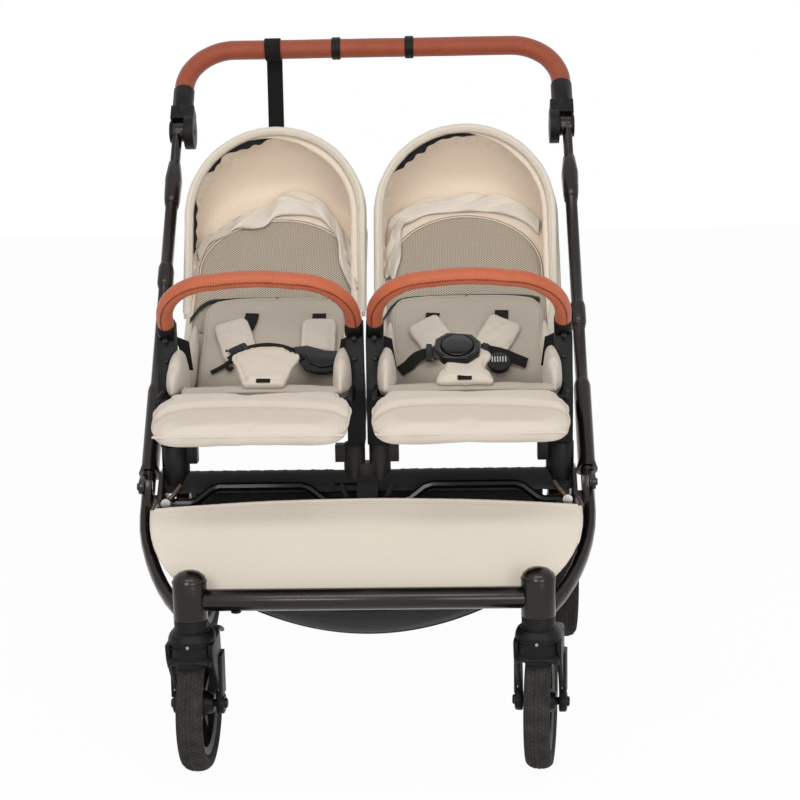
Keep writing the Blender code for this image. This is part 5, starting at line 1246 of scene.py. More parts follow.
def finish_calf_pad(made, which, mid_x):
    """Sew the calf pad's seam, round its end and draw in its corners, and lay piping and stitches on it."""
    body = "calf_" + which
    seam = smooth_line([calf_point(mid_x, a, c, 0.0175) for a, c in CALF_SEAM])
    press(made, seam, 0.0056, 0.011, CALF_UP)
    co = coordinates(made)
    down = (co - np.array(calf_point(mid_x, 0, 0))) @ np.array(CALF_DIR)
    out = np.abs(co[:, 0] - mid_x)
    share = np.clip((down - 0.045) / 0.045, 0, 1)
    co += np.outer(share * 0.005 * np.clip(1 - (out / 0.13) ** 2, 0, 1), np.array(CALF_DIR))
    near = np.clip(1 - down / 0.03, 0, 1)
    co[:, 0] -= np.sign(co[:, 0] - mid_x) * near * np.clip((out - 0.09) / 0.05, 0, 1) * 0.0085
    set_coordinates(made, co)
    ripple(made, 0.001, 30, mid_x * 20)
    plane_uv(made, X_AXIS, CALF_DIR)
    place(made, body, "cream_pad", ["calf_rest_" + which])
    angles = [pi / 2 * k / 8 for k in range(9)]
    corner = [(-0.106 - 0.036 * cos(t), 0.05 + 0.0405 * sin(t)) for t in angles]
    rim = [(-0.1435, 0.000), (-0.1435, 0.03)] + corner + [(-a, c) for a, c in reversed(corner)] + \
        [(0.1435, 0.03), (0.1435, 0.000)]
    middle = calf_point(mid_x, 0, 0.037, 0.0055)
    line = on_surface(made, [calf_point(mid_x, a, c, 0.0055) for a, c in rim], lambda point: middle - point)
    piping("calf_piping_" + which, evenly(smooth_line(line, 4), 150), 0.0019, CALF_UP, "cream_pad", body)
    fine = on_surface(made, [p + CALF_UP * 0.03 for p in evenly(seam, 60)], -CALF_UP)
    for number, shift in enumerate((0.0022, -0.0022)):
        row = [p + CALF_DIR * shift for p in fine]
        stitched(f"calf_stitches_{number + 1}_{which}", [row], CALF_UP, "thread", body, 0.0042, 0.0029, 0.00036)


def on_surface(made, points, ray):
    """Move points onto a piece's surface along a ray, which is a direction or a function of the point."""
    tree = BVHTree.FromPolygons([v.co for v in made.data.vertices], [p.vertices for p in made.data.polygons])
    moved = []
    for point in points:
        way = (ray(point) if callable(ray) else ray).normalized()
        hit = tree.ray_cast(point - way * 0.05, way)[0]
        if hit is not None:
            moved.append(hit)
    return moved


# Harness

def shoulder_pad(which, hand_name, hand, mid_x):
    made = copy_of(f"shoulder_pad_{hand_name}_{which}", f"harness_pad_{which}_{hand_name}", "cream_pad",
                   0.002)
    a, along, across = pad_frame(which, hand)
    middle = np.array(back_point(mid_x, a, 0.107, 0.04))
    co = coordinates(made) - middle
    for way, grow in ((along, 1.2), (across, 1.15)):
        way = np.array(way)
        co += np.outer(co @ way, way) * (grow - 1)
    set_coordinates(made, co + middle + np.array(BACK_DIR) * 0.002)
    return remesh(made, 0.0032), 0.005


def pad_frame(which, hand):
    """Middle, length direction and width direction of a shoulder pad."""
    index = 0 if hand < 0 else 1
    turn = radians(SHOULDER_TURN[which][index])
    along = BACK_DIR * cos(turn) + X_AXIS * sin(turn)
    return SHOULDER_X[which][index], along, along.cross(BACK_NORMAL)


def finish_shoulder_pad(made, which, hand_name, hand, mid_x):
    """Press three folds and the sewn end into a shoulder pad, hem its sides and stitch it."""
    a, along, across = pad_frame(which, hand)
    middle = back_point(mid_x, a, 0.107, 0.045)
    for start, end, depth in ((-0.012, 0.004, 0.0011), (0.01, 0.018, 0.0009), (0.022, 0.016, 0.0009)):
        line = [middle + along * (start + (end - start) * t) + across * (-0.024 + 0.048 * t)
                for t in (0, 0.5, 1)]
        press(made, line, depth, 0.006, BACK_NORMAL)
    foot = [middle - along * 0.0275 + across * (-0.025 + 0.05 * t / 6) for t in range(7)]
    press(made, foot, 0.0028, 0.0055, BACK_NORMAL)
    ripple(made, 0.0012, 60, a * 50)
    plane_uv(made, across, along)
    place(made, "backrest_" + which, "cream_pad", [f"shoulder_pad_{hand_name}_{which}"])
    for edge in (-1, 1):
        line = [middle + across * (edge * 0.0215) + along * (-0.031 + 0.062 * t / 12) for t in range(13)]
        line = on_surface(made, [p + BACK_NORMAL * 0.02 for p in line], -BACK_NORMAL)
        press(made, line, 0.0008, 0.0025, BACK_NORMAL)
    hem = on_surface(made, [p + BACK_NORMAL * 0.03 - along * 0.0042 for p in foot[1:-1]], -BACK_NORMAL)
    stitched(f"harness_pad_stitches_{which}_{hand_name}", [hem], BACK_NORMAL, "thread",
             "backrest_" + which, 0.0036, 0.0025, 0.00033)


def crotch_shield(which, mid_x):
    made = copy_of("crotch_pad_" + which, "crotch_shield_" + which, "cream_pad", 0.0016)
    if which == "right":
        made = remesh(made, 0.0032)
    co = coordinates(made)
    foot = crotch_point(which, mid_x, 0, 0)
    for i in range(len(co)):
        point = Vector(co[i])
        if which == "right":
            up = min(0.044, max(0.0, (point - foot).dot(CROTCH_DIR)))
            round_foot = 1 - 0.22 * max(0.0, 1 - up / 0.007) ** 2
            half = 0.043 * sqrt(1 - ((up - 0.012) / 0.05) ** 2) * round_foot
            co[i][0] += (point.x - foot.x) * (half / (0.026 + 0.352 * up) - 1)
        co[i] += np.array(crotch_slip(point, mid_x))
    set_coordinates(made, co)
    return remesh(made, 0.0032), 0.004


CROTCH_LEAN = radians(48.0)
CROTCH_X = {"left": 0.012, "right": -0.008}
CROTCH_DIR = SEAT_DIR * cos(CROTCH_LEAN) + SEAT_UP * sin(CROTCH_LEAN)
CROTCH_FACE = X_AXIS.cross(CROTCH_DIR)


def crotch_slip(point, mid_x):
    """How far the loose shield hangs forward of its solid: its foot laps over the seat's front edge."""
    foot = seat_point(mid_x, 0, 0.004, 0.0)
    share = min(1.0, max(0.0, (point - foot).dot(CROTCH_DIR) / 0.078))
    return Vector((0, -0.01, -0.005)).lerp(Vector((0, -0.0085, 0.0)), share)


def crotch_point(which, mid_x, a, u, n=0.0):
    """a across, u up the shield from its foot, n out of its front face."""
    point = seat_point(mid_x, CROTCH_X[which] + a, 0.004, 0.0) + CROTCH_DIR * u + CROTCH_FACE * n
    return point + crotch_slip(point, mid_x)


def finish_crotch_shield(made, which, mid_x):
    """Press and stitch the shield's border, and lay the strap through the slot at its foot."""
    body, face = "seat_" + which, CROTCH_FACE
    half = [(0.024, 0.006), (0.045, 0.055), (0.043, 0.06), (0.028, 0.072), (0.012, 0.0775)]
    border = half + [(-a, u) for a, u in reversed(half)]
    line = smooth_line([crotch_point(which, mid_x, a, u, 0.02) for a, u in border], 6)
    line = on_surface(made, [p + face * 0.02 for p in line], -face)
    press(made, line, 0.0016, 0.0042, face)
    ripple(made, 0.0009, 50, mid_x * 30)
    plane_uv(made, X_AXIS, CROTCH_DIR)
    place(made, body, "cream_pad", ["crotch_pad_" + which])
    line = on_surface(made, [p + face * 0.02 for p in evenly(line, 90)], -face)
    stitched("crotch_stitches_" + which, [line], face, "thread", body, 0.0036, 0.0025, 0.00033)
    hole = rounded_box(-0.0105, 0.0105, 0.0035, 0.0145, 0.002)
    base = on_surface(made, [crotch_point(which, mid_x, 0, 0.009, 0.04)], -face)[0]
    lift = (base - crotch_point(which, mid_x, 0, 0.009, 0.0)).dot(face)
    origin = crotch_point(which, mid_x, 0, 0, lift - 0.0012)
    show("crotch_strap_" + which, [plate(hole, origin, X_AXIS, CROTCH_DIR, 0.0, 0.0022)], "webbing", body, (),
         0.0004)


def strap(name, points, width, body, mat="webbing", thickness=0.0016, facing=BACK_NORMAL, per_span=6):
    """A flat webbing strap along a smooth line. facing is the way that its flat side looks."""
    section = rounded_box(-thickness / 2, thickness / 2, -width / 2, width / 2, thickness * 0.45, 3)
    show(name, [sweep(smooth_line(points, per_span), section, facing)], mat, body, smooth=60)


# Each strap: name, width and points on the backrest as (across, up, out)
HARNESS = {
    "left": [
        ("strap_left_left", 0.022, [(-0.032, 0.17, 0.0305), (-0.034, 0.15, 0.0335), (-0.042, 0.125, 0.037),
                                    (-0.054, 0.1, 0.038), (-0.058, 0.08, 0.042)]),
        ("strap_left_right", 0.022, [(0.077, 0.168, 0.03), (0.077, 0.145, 0.0355), (0.078, 0.12, 0.037),
                                     (0.079, 0.085, 0.0385), (0.079, 0.07, 0.042)]),
        ("belt_left", 0.015, [(-0.062, 0.064, 0.043), (-0.046, 0.076, 0.047), (-0.028, 0.083, 0.049),
                              (-0.004, 0.0865, 0.05), (0.02, 0.083, 0.05), (0.045, 0.073, 0.048)]),
        ("tail_left", 0.008, [(-0.05, 0.07, 0.043), (-0.062, 0.06, 0.04), (-0.075, 0.053, 0.036),
                              (-0.09, 0.046, 0.033)]),
        ("loop_left", 0.006, [(-0.062, 0.062, 0.038), (-0.064, 0.052, 0.039), (-0.06, 0.047, 0.038),
                              (-0.055, 0.052, 0.039)])],
    "right": [
        ("strap_right_left", 0.022, [(-0.055, 0.166, 0.03), (-0.056, 0.146, 0.0345), (-0.055, 0.12, 0.037),
                                     (-0.046, 0.095, 0.04), (-0.036, 0.078, 0.046)]),
        ("strap_right_right", 0.022, [(0.056, 0.17, 0.03), (0.055, 0.148, 0.0345), (0.052, 0.122, 0.037),
                                      (0.042, 0.095, 0.04), (0.03, 0.08, 0.045)]),
        ("belt_right_1", 0.02, [(-0.108, 0.044, 0.032), (-0.094, 0.054, 0.035), (-0.08, 0.068, 0.039),
                                 (-0.062, 0.072, 0.044), (-0.048, 0.07, 0.047)]),
        ("belt_right_2", 0.02, [(0.018, 0.074, 0.049), (0.035, 0.072, 0.047), (0.055, 0.068, 0.044),
                                 (0.072, 0.062, 0.04), (0.092, 0.056, 0.034)])]}
TONGUE = [(0.04, 0.09), (0.062, 0.093), (0.09, 0.083), (0.118, 0.08), (0.121, 0.062), (0.112, 0.042),
          (0.092, 0.036), (0.078, 0.037), (0.06, 0.045), (0.049, 0.062)]
CHEEK = [(0.058, 0.077), (0.086, 0.072), (0.112, 0.072), (0.113, 0.06), (0.104, 0.048), (0.086, 0.046),
         (0.068, 0.054)]
TIP = [(0.042, 0.07), (0.055, 0.074), (0.06, 0.066), (0.05, 0.058)]


def harness_straps(which, mid_x):
    slanted = (BACK_NORMAL + BACK_DIR * 0.4).normalized()
    for name, width, points in HARNESS[which]:
        strap("harness_" + name, [back_point(mid_x, *point) for point in points], width,
              "backrest_" + which, facing=slanted if name == "belt_left" else BACK_NORMAL)


def block(outline, origin, thickness, low=0.0, u=X_AXIS, v=BACK_DIR):
    return plate(outline, origin, u, v, low, low + thickness)


def left_harness(mid_x):
    body = "backrest_left"
    harness_straps("left", mid_x)
    turn = (X_AXIS * 0.86 + BACK_DIR * 0.5).normalized()
    across = BACK_NORMAL.cross(turn)
    window = rounded_box(-0.015, 0.015, -0.011, 0.011, 0.004)
    shapes = [block(window, back_point(mid_x, -0.045, 0.076, 0.0475), 0.004, 0.0, turn, across)]
    for step in (-0.007, 0.0, 0.007):
        bar = rounded_box(step - 0.0016, step + 0.0016, -0.0095, 0.0095, 0.001)
        shapes.append(block(bar, back_point(mid_x, -0.045, 0.076, 0.0515), 0.0014, 0.0, turn, across))
    show("harness_adjuster_left", shapes, "gloss_plastic", body, (), 0.0007)
    level = back_point(mid_x, 0, -0.01, 0.047)
    shapes = [block(TONGUE, level, 0.0065), block(CHEEK, level, 0.0035, 0.006)]
    show("harness_tongue_left", shapes, "gloss_plastic", body, (), 0.0016)
    slant = (BACK_DIR + X_AXIS * 0.12).normalized()
    teeth = []
    for k in range(9):
        start = 0.062 + 0.0052 * k
        tooth = rounded_box(start, start + 0.0028, 0.0375, 0.0425, 0.0008)
        teeth.append(block(tooth, level, 0.0018, 0.0062, X_AXIS, slant))
    show("harness_teeth_left", teeth, "grey", body, (), 0.0003)
    show("harness_tip_left", [block(TIP, level, 0.0025, 0.006)], "webbing", body, (), 0.0005)


def right_harness(mid_x):
    body = "backrest_right"
    harness_straps("right", mid_x)
    level = back_point(mid_x, 0, 0, 0.045)
    slider = block(rounded_box(-0.066, -0.057, 0.052, 0.086, 0.002), level, 0.0042)
    show("harness_slider_right", [slider], "gloss_plastic", body, (), 0.0009)
    tongues = [block(rounded_box(-0.056, -0.043, 0.056, 0.082, 0.003), level, 0.0045),
               block(rounded_box(0.022, 0.032, 0.063, 0.084, 0.003), level, 0.0055)]
    show("harness_tongues_right", tongues, "grey", body, (), 0.0009)
    knob = [(0, 0.0175), (0.006, 0.019), (0.0095, 0.0178), (0.0108, 0.012), (0.0104, 0.0)]
    show("harness_adjuster_right", [turned(back_point(mid_x, 0.048, 0.05, 0.038), BACK_NORMAL, knob, 40)],
         "gloss_plastic", body)
    teeth = []
    for k in range(6):
        a = 0.0375 + 0.0042 * k
        tooth = rounded_box(a - 0.001, a + 0.001, 0.047, 0.058, 0.0006)
        teeth.append(block(tooth, back_point(mid_x, 0, 0, 0.048), 0.0016))
    show("harness_teeth_right", teeth, "steel", body, (), 0.0002)


def buckle(which):
    """The five point buckle: a bevelled octagon with a round push button."""
    dress("buckle_" + which, "gloss_plastic", "seat_" + which, 0.0022, "buckle_shell_" + which)
    dress("buckle_button_" + which, "gloss_plastic", "button_" + which, 0.0007,
          "buckle_push_" + which)


# Handle, bumper bars and tubes

BAR_R = 0.0126


def u_points(centre, half, reach, bend, start, ahead, straight=10, arc=14, arch=0.0):
    """Centre line of a U shaped bar: up one side, across and down the other."""
    quarter = []
    for k in range(arc + 1):
        angle = pi / 2 * k / arc
        quarter.append((half - bend + bend * cos(angle), reach - bend + bend * sin(angle)))
    right = [(half, start + (reach - bend - start) * k / straight) for k in range(straight)] + quarter
    across = [((half - bend) * (1 - k / 12), reach + arch * (1 - (1 - k / 12) ** 2)) for k in range(1, 13)]
    side_points = right + across
    whole = side_points + [(-x, y) for x, y in reversed(side_points[:-1])]
    return [centre + X_AXIS * x + ahead * y for x, y in whole]


def nearest(pairs, reach):
    """A function of a point: the direction out of the (point, direction) pair that ends nearest to it."""
    return lambda point: min(pairs, key=lambda pair: (pair[0] + pair[1] * reach - point).length_squared)[1]


def bumper(which, mid_x):
    """The leatherette bumper bar, sewn with a slanting whip stitch along its inside."""
    block_point = at(mid_x, BLOCK[0], BLOCK[1])
    body = "bumper_" + which
    path = u_points(block_point, BAR_HALF, 0.118, 0.085, 0.0195, BAR_DIR, 6, arch=0.006)
    sizes = [0.88] + [1.0] * (len(path) - 2) + [0.88]
    sleeve = sweep(path, circle(BAR_R, 36), BAR_NORMAL, sizes)
    made = piece("bumper_sleeve_" + which, [sleeve], MATS["tan_bright"], 60)
    ripple(made, 0.0004, 60, mid_x * 12)
    place(made, body, "tan_bright", ["bumper_bar_" + which])
    pegs = []
    for hand in (-1, 1):
        foot = block_point + X_AXIS * hand * BAR_HALF
        pegs.append(turned(foot - BAR_DIR * 0.014, BAR_DIR, [(0, 0.007), (0.0145, 0.0072)], 28))
        cuff = []
        for s, wide, tall in ((0.0006, 0.0128, 0.0142), (0.012, 0.0132, 0.0146), (0.018, 0.0128, 0.0138),
                              (0.0215, 0.0116, 0.0118)):
            cuff.append([foot + BAR_DIR * s + X_AXIS * u + BAR_NORMAL * v
                         for u, v in rounded_box(-wide, wide, -tall, tall, 0.006)])
        pegs.append(skin(cuff))
    show("bumper_pegs_" + which, pegs, "nylon", body, (), 0.0006)
    for number, facing in enumerate((1, -1)):
        edge = []
        for i in range(1, len(path) - 1):
            away = (path[i + 1] - path[i - 1]).normalized().cross(BAR_NORMAL)
            away = -away if away.dot(block_point + BAR_DIR * 0.04 - path[i]) > 0 else away
            edge.append((path[i], (BAR_NORMAL * facing * 0.93 + away * 0.37).normalized()))
        line = [p + d * (BAR_R - 0.0001) for p, d in edge]
        stitched(f"bumper_stitches_{number + 1}_{which}", [line], nearest(edge, BAR_R), "brown_thread", body,
                 0.0038, 0.007, 0.001, 0.9)


# The profile of a ring round the handle: (along, radius)
RING = [(0, 0.016), (0.0004, 0.0188), (0.0022, 0.0199), (0.007, 0.02), (0.0076, 0.0196), (0.0084, 0.0196),
        (0.009, 0.02), (0.0138, 0.0199), (0.0156, 0.0188), (0.016, 0.016)]


def handle():
    """The leatherette push handle with its two rings, sewn along its inside."""
    base = push_point(KNUCKLE_S)
    path = u_points(base, 0.331, 0.18, 0.086, 0.0915, PUSH_DIR, 6, 18)
    made = piece("handle_sleeve", [sweep(path, circle(0.0168, 40), PUSH_NORMAL)], MATS["tan"], 60)
    ripple(made, 0.0004, 50, 5)
    place(made, "handle", "tan", ["handle_grip"])
    bar = base + PUSH_DIR * 0.18
    rings = [turned(bar + X_AXIS * (hand * 0.065 - 0.008), X_AXIS, RING, 48) for hand in (-1, 1)]
    show("handle_rings", rings, "nylon", "handle")
    inner = []
    for i in range(len(path)):
        tangent = (path[min(i + 1, len(path) - 1)] - path[max(i - 1, 0)]).normalized()
        into = tangent.cross(PUSH_NORMAL)
        inward = into if into.dot(base + PUSH_DIR * 0.08 - path[i]) > 0 else -into
        inner.append((path[i], (inward * 0.5 - PUSH_NORMAL * 0.86).normalized()))
    line = [p + d * 0.017 for p, d in inner]
    stitched("handle_stitches", [line], nearest(inner, 0.017), "brown_thread", "handle", 0.005, 0.0062,
             0.00055, 0.7)


def wrist_strap():
    """The black webbing loop round the handle, with its sewn end."""
    made = dress("handle_strap", "webbing", "strap", 0.0006, "wrist_strap")
    low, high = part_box("handle_strap")
    co = coordinates(made)
    co[:, 0] += 0.0012 * np.sin((co[:, 2] - low[2]) * 30)
    set_coordinates(made, np.clip(co, [low[0] - 0.002, low[1], low[2]], [high[0] + 0.002, high[1], high[2]]))


# Wheels

def tyre_section(outer, width, height):
    """Closed (radius, along) section of a low pressure foam tyre with a raised centre rib."""
    half = width / 2
    foot = outer - height
    flank = [(foot, 0.62), (foot + height * 0.18, 0.8), (foot + height * 0.42, 0.97),
             (outer - height * 0.3, 0.96), (outer - height * 0.13, 0.72), (outer - 0.0016, 0.4),
             (outer - 0.0012, 0.17), (outer - 0.0002, 0.13)]
    return [(r, -half * x) for r, x in flank] + [(outer, 0.0)] + [(r, half * x) for r, x in reversed(flank)]


def corners(node):
    """The low and the high corner of a solid's box."""
    low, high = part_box(node)
    return Vector(low), Vector(high)


def node_centre(node):
    low, high = corners(node)
    return (low + high) / 2


def wheel_axis(node):
    """Direction of a wheel's axle, to the right: the thinnest way through its mesh."""
    co = coordinates(frame["nodes"][node])
    co = co - co.mean(axis=0)
    axis = Vector(np.linalg.svd(co, full_matrices=False)[2][2]).normalized()
    return axis if axis.x > 0 else -axis


# Rows of tread blocks: share of the half width, depth below the rib, shift along the row, lean outward
TREAD = ((0.29, 0.0014, 0.0, 0.0), (0.5, 0.0024, 0.5, 0.25), (0.7, 0.0042, 0.0, 0.62))


def tyre(kind, which, outer, width, height, count):
    """A tyre with three rows of small raised blocks on each side of its rib."""
    node = f"{kind}_tyre_{which}"
    centre, axis = node_centre(node), wheel_axis(node)
    body = f"{kind}_wheel_{which}"
    section = tyre_section(outer - 0.0008, width - 0.001, height)
    show(f"{kind}_tyre_body_{which}", [hoop(centre, axis, section, 128)], "tyre", body, [node], smooth=35)
    u = (Z_AXIS - axis * Z_AXIS.dot(axis)).normalized()
    v = axis.cross(u)
    spots = []
    for k in range(count):
        for share, dip, shift, lean in TREAD:
            for hand in (-1, 1):
                angle = 2 * pi * (k + shift + (0.25 if hand > 0 else 0)) / count
                out = u * cos(angle) + v * sin(angle)
                round_way = v * cos(angle) - u * sin(angle)
                spot = centre + out * (outer - 0.0008 - dip) + axis * (share * width / 2 * hand)
                spots.append((spot, round_way, (out + axis * (lean * hand)).normalized()))
    step = 2 * pi * outer / count
    lug = rounded_box(-step * 0.36, step * 0.36, -width * 0.04, width * 0.04, step * 0.12, 2)
    shape = [plate(lug, Vector((0, 0, 0)), X_AXIS, Y_AXIS, -0.0012, 0.0008)]
    repeats(f"{kind}_tyre_tread_{which}", shape, spots, "tyre_top", body)


# Casters

# Levels of the caster's cap: height, half width, near end, far end. The first follows the guard.
CAP = ((None, 0.0342, -0.033, 0.042), (0.212, 0.0344, -0.0336, 0.0428), (0.216, 0.0341, -0.0334, 0.0424),
       (0.22, 0.0332, -0.0326, 0.0408), (0.2235, 0.0316, -0.0311, 0.038), (0.2262, 0.0293, -0.029, 0.033),
       (0.228, 0.0268, -0.0268, 0.028), (0.2287, 0.0255, -0.0255, 0.0258))
CASTER_ARM = [(0.042, 0.213), (0.046, 0.19), (0.053, 0.15), (0.0585, 0.108), (0.055, 0.09), (0.043, 0.0845),
              (0.031, 0.09), (0.0285, 0.108), (0.016, 0.14), (-0.006, 0.168), (-0.021, 0.188), (-0.0265, 0.213)]
TRAIL, AXLE_Z = 0.043, 0.1
SQUARENESS = 0.84


def caster_fork(which, side):
    """The caster: a collar, a domed cap with a lip, the mudguard, two arms, damper boxes and axle lugs."""
    out = wheel_axis("front_tyre_" + which)
    back = Z_AXIS.cross(out)
    foot = at(side * 0.251, 0.0, 0.0)
    body = "caster_" + which

    def spot(x, y, z):
        return foot + out * x + back * y + Z_AXIS * z

    top = corners("caster_fork_" + which)[1].z
    rim = [(0, 0.0262), (0.003, 0.0262), (0.0036, 0.0246), (0.005, 0.0246), (0.0054, 0.0243),
           (top - 0.2275, 0.0245)]
    collar = turned(spot(0, 0, 0.2275), Z_AXIS, rim, 48)
    cap = []
    for z, wide, near, far in CAP:
        ring = []
        for angle in turns(56):
            x = wide * copysign(abs(cos(angle)) ** SQUARENESS, cos(angle))
            y = (near + far) / 2 + \
                (far - near) / 2 * copysign(abs(sin(angle)) ** SQUARENESS, sin(angle))
            ring.append(spot(x, y, AXLE_Z + sqrt(0.1095 ** 2 - (y - TRAIL) ** 2) if z is None else z))
        cap.append(ring)
    beads = []
    angles = [radians(-82 + 164 * k / 40) for k in range(41)]
    for high, drop, r in ((0.215, 0.006, 0.0011), (0.209, 0.005, 0.0009)):
        arch = [spot(copysign(0.0346 * abs(sin(t)) ** SQUARENESS, t), -0.0339 * cos(t) ** SQUARENESS,
                     high - drop * (1 - cos(t))) for t in angles]
        beads.append(sweep(arch, rounded_box(-r, r, -r, r, r * 0.8, 3), Z_AXIS))
    guard = []
    for i in range(30):
        angle = radians(60 + (131.5 - 60) * i / 29)
        ring = [(-0.0315 * cos(t), 0.1085 + 0.0085 * sin(t) ** 0.5)
                for t in [pi * k / 14 for k in range(15)]]
        ring += [(0.0272 * cos(t), 0.1064 + 0.006 * sin(t) ** 0.5)
                 for t in [pi * k / 10 for k in range(11)]]
        guard.append([spot(x, TRAIL + r * cos(angle), AXLE_Z + r * sin(angle)) for x, r in ring])
    show("caster_crown_" + which, [collar, skin(cap), skin(guard)] + beads, "nylon", body,
         ["caster_fork_" + which], 0.0007, 34)
    arm = [(p.x, p.y) for p in smooth_line([(y, z, 0) for y, z in CASTER_ARM], 5)]
    shapes, boxes, bolts = [], [], []
    for hand in (-1, 1):
        low, high = sorted((hand * 0.0275, hand * 0.0345))
        shapes.append(plate(arm, foot, back, Z_AXIS, low, high))
        shapes.append(turned(spot(hand * 0.027, TRAIL, AXLE_Z), out * hand,
                             [(0, 0.0155), (0.0095, 0.0155), (0.0115, 0.013)], 36))
        low, high = sorted((hand * 0.029, hand * 0.0385))
        boxes.append(plate(rounded_box(low, high, 0.0225, 0.056, 0.0035), foot, out, back, 0.116, 0.18))
        rib = rounded_box(hand * 0.0352 - 0.002, hand * 0.0352 + 0.002, 0.0205, 0.03, 0.001)
        boxes.append(plate(rib, foot, out, back, 0.119, 0.177))
        bolts += [(spot(hand * 0.034, 0.0224, z), Z_AXIS, -back) for z in (0.1285, 0.169)]
    bolts.append((spot(0, -0.0338, 0.2118), Z_AXIS, -back))
    shapes.append(turned(spot(-0.03, TRAIL, AXLE_Z), out, [(0, 0.0058), (0.06, 0.0058)], 24))
    show("caster_arms_" + which, shapes, "nylon", body, (), 0.0012)
    show("caster_dampers_" + which, boxes, "nylon", body, (), 0.0016)
    screws("damper_bolts_" + which, bolts, 0.0028, "steel", body)


# Front panel and basket

def front_panel():
    """The cream panel under the seats: cloth drawn over a thin stiffener, with a hem along its top."""
    low, high = corners("basket_front_panel")
    foot = Vector((0, low.y + 0.0028, low.z + 0.0012))
    up = (Vector((0, high.y - 0.0028, high.z - 0.0012)) - foot).normalized()
    tall = (Vector((0, high.y, high.z)) - foot).length - 0.0016
    rise, tab = 0.014, 0.028
    corner = tall - rise
    co = coordinates(frame["nodes"]["basket_front_panel"])
    heights = (co - np.array(foot)) @ np.array(up)
    edge = sorted((h, w) for h, w in zip(heights, np.abs(co[:, 0]))
                  if tab + 0.001 < h < corner + 0.002 and w > 0.2)
    levels = [0.0, tab * 0.5, tab - 0.0012]
    levels += [tab + 0.0008 + (corner - tab - 0.0008) * i / 40 for i in range(41)]
    rows = []
    for level in levels:
        half = 0.2205 if level < tab else float(np.interp(level, [h for h, w in edge], [w for h, w in edge]))
        row = []
        for j in range(97):
            t = 2 * j / 96 - 1
            lift = level * (1 + rise * (1 - t * t) / corner)
            free = min(1.0, (1 - abs(t)) * 8, level / 0.05)
            sag = 0.0016 * noise.noise(Vector((t * 3.0, level * 12, 2.0))) * free
            pull = 0.0006 * sin(t * 150) * max(0.0, 1 - (corner - level) / 0.012) * free
            row.append(foot + X_AXIS * (t * (half - 0.0006)) + up * lift + X_AXIS.cross(up) * (sag + pull))
        rows.append(row)
    lay_sheet("front_panel", [cloth(rows)], "cream", 0.0032, (0.65, 0.165), "stretched",
              ["front_bar", "side_rail_left", "side_rail_right"], "chassis", ["basket_front_panel"])
    front = X_AXIS.cross(up)
    front = front if front.y < 0 else -front
    piping("front_panel_hem", [p + front * 0.0008 for p in rows[-1][1:-1]], 0.0022, front, "cream", "chassis")
    line = [p + front * 0.0019 for p in rows[-3][4:-4]]
    stitched("front_panel_stitches", [line], front, "thread", "chassis", 0.0042, 0.003, 0.00035)


def basket_bin():
    """The shopping basket: dark mesh cloth that hangs in an arc between the side rails, with a bound brim."""
    low, high = corners("basket")
    front, rear = low.y - SWIVEL_Y + 0.0015, high.y - SWIVEL_Y - 0.0015
    half_all = high.x - 0.0015
    floor_front, floor_rear, sag_z, radius, lip = 0.181, 0.499, 0.1618, 0.394, 0.045
    top_front, top_rear = 0.343, 0.303
    stations = [(front + (floor_front - front) * (k / 9), top_front, k / 9) for k in range(10)]
    stations += [(floor_front + (floor_rear - floor_front) * k / 8, top_front, 1.0) for k in range(1, 8)]
    stations += [(rear + (floor_rear - rear) * (1 - k / 9), top_rear, 1 - k / 9) for k in range(10)]
    rows, brims = [], ([], [])
    for back, top_end, share in stations:
        deep = sag_z + (top_end - lip - sag_z) * (1 - share) ** 1.8
        top = top_front + (top_rear - top_front) * ((back - front) / (rear - front))
        half = half_all - lip * 0.5 * (1 - share) ** 3
        row = []
        for j in range(41):
            x = half * (2 * j / 40 - 1)
            dent = 0.0018 * noise.noise(Vector((x * 9, back * 9, 4.0)))
            row.append(at(x, back, min(deep + x * x / (2 * radius), top - lip * 0.4) + dent))
        left = [at(-half, back, top - (top - row[0].z) * k / 6) for k in range(6)]
        right = [at(half, back, row[-1].z + (top - row[-1].z) * (k + 1) / 6) for k in range(6)]
        rows.append(left + row + right)
        brims[0].append(left[0])
        brims[1].append(right[-1])
    lay_sheet("basket_bin", [cloth(rows)], "basket", 0.0022, (0.86, 0.7), "hung",
              ["side_rail_left", "side_rail_right", "front_panel"], "chassis", ["basket"])
    for number, (brim, inward) in enumerate(zip(brims, (1, -1))):
        line = [p + X_AXIS * inward * 0.002 for p in brim]
        strap(f"basket_brim_{number + 1}", line, 0.02, "chassis", "webbing", 0.0026, X_AXIS, 3)
    line = []
    for j in range(61):
        x = -0.175 + 0.35 * j / 60
        line.append(at(x, floor_front - 0.0035, sag_z + x * x / (2 * radius) + 0.0035))
    band = sweep(line, rounded_box(-0.0016, 0.0016, -0.0065, 0.0065, 0.0014, 3), Y_AXIS)
    show("basket_hem", [band], "basket", "chassis", smooth=50)
    for number, x in enumerate((-0.034, 0.0415)):
        line = [at(x, back, z) for back, z in ((0.176, 0.172), (0.168, 0.19), (0.15, 0.22), (0.125, 0.258))]
        strap(f"basket_tie_{number + 1}", line, 0.018, "chassis", "strap_grey", 0.0018, Y_AXIS)


def basket_front():
    """Painted shade: a black sheet in the basket's front wall, above its hem, for the dark inside."""
    front = corners("basket")[0].y - SWIVEL_Y
    rows = []
    for i in range(9):
        rise = 0.015 + 0.042 * i / 8
        back = 0.181 - (0.181 - front) * (rise / 0.136) ** 0.556 - 0.005
        rows.append([at(x, back, 0.16 + rise + x * x / 0.788) for x in [-0.15 + 0.005 * j for j in range(61)]])
    lay_sheet("basket_front_mesh", [cloth(rows)], "felt", 0.0012, (0.31, 0.055), "stretched", ["basket_bin"],
              "chassis")


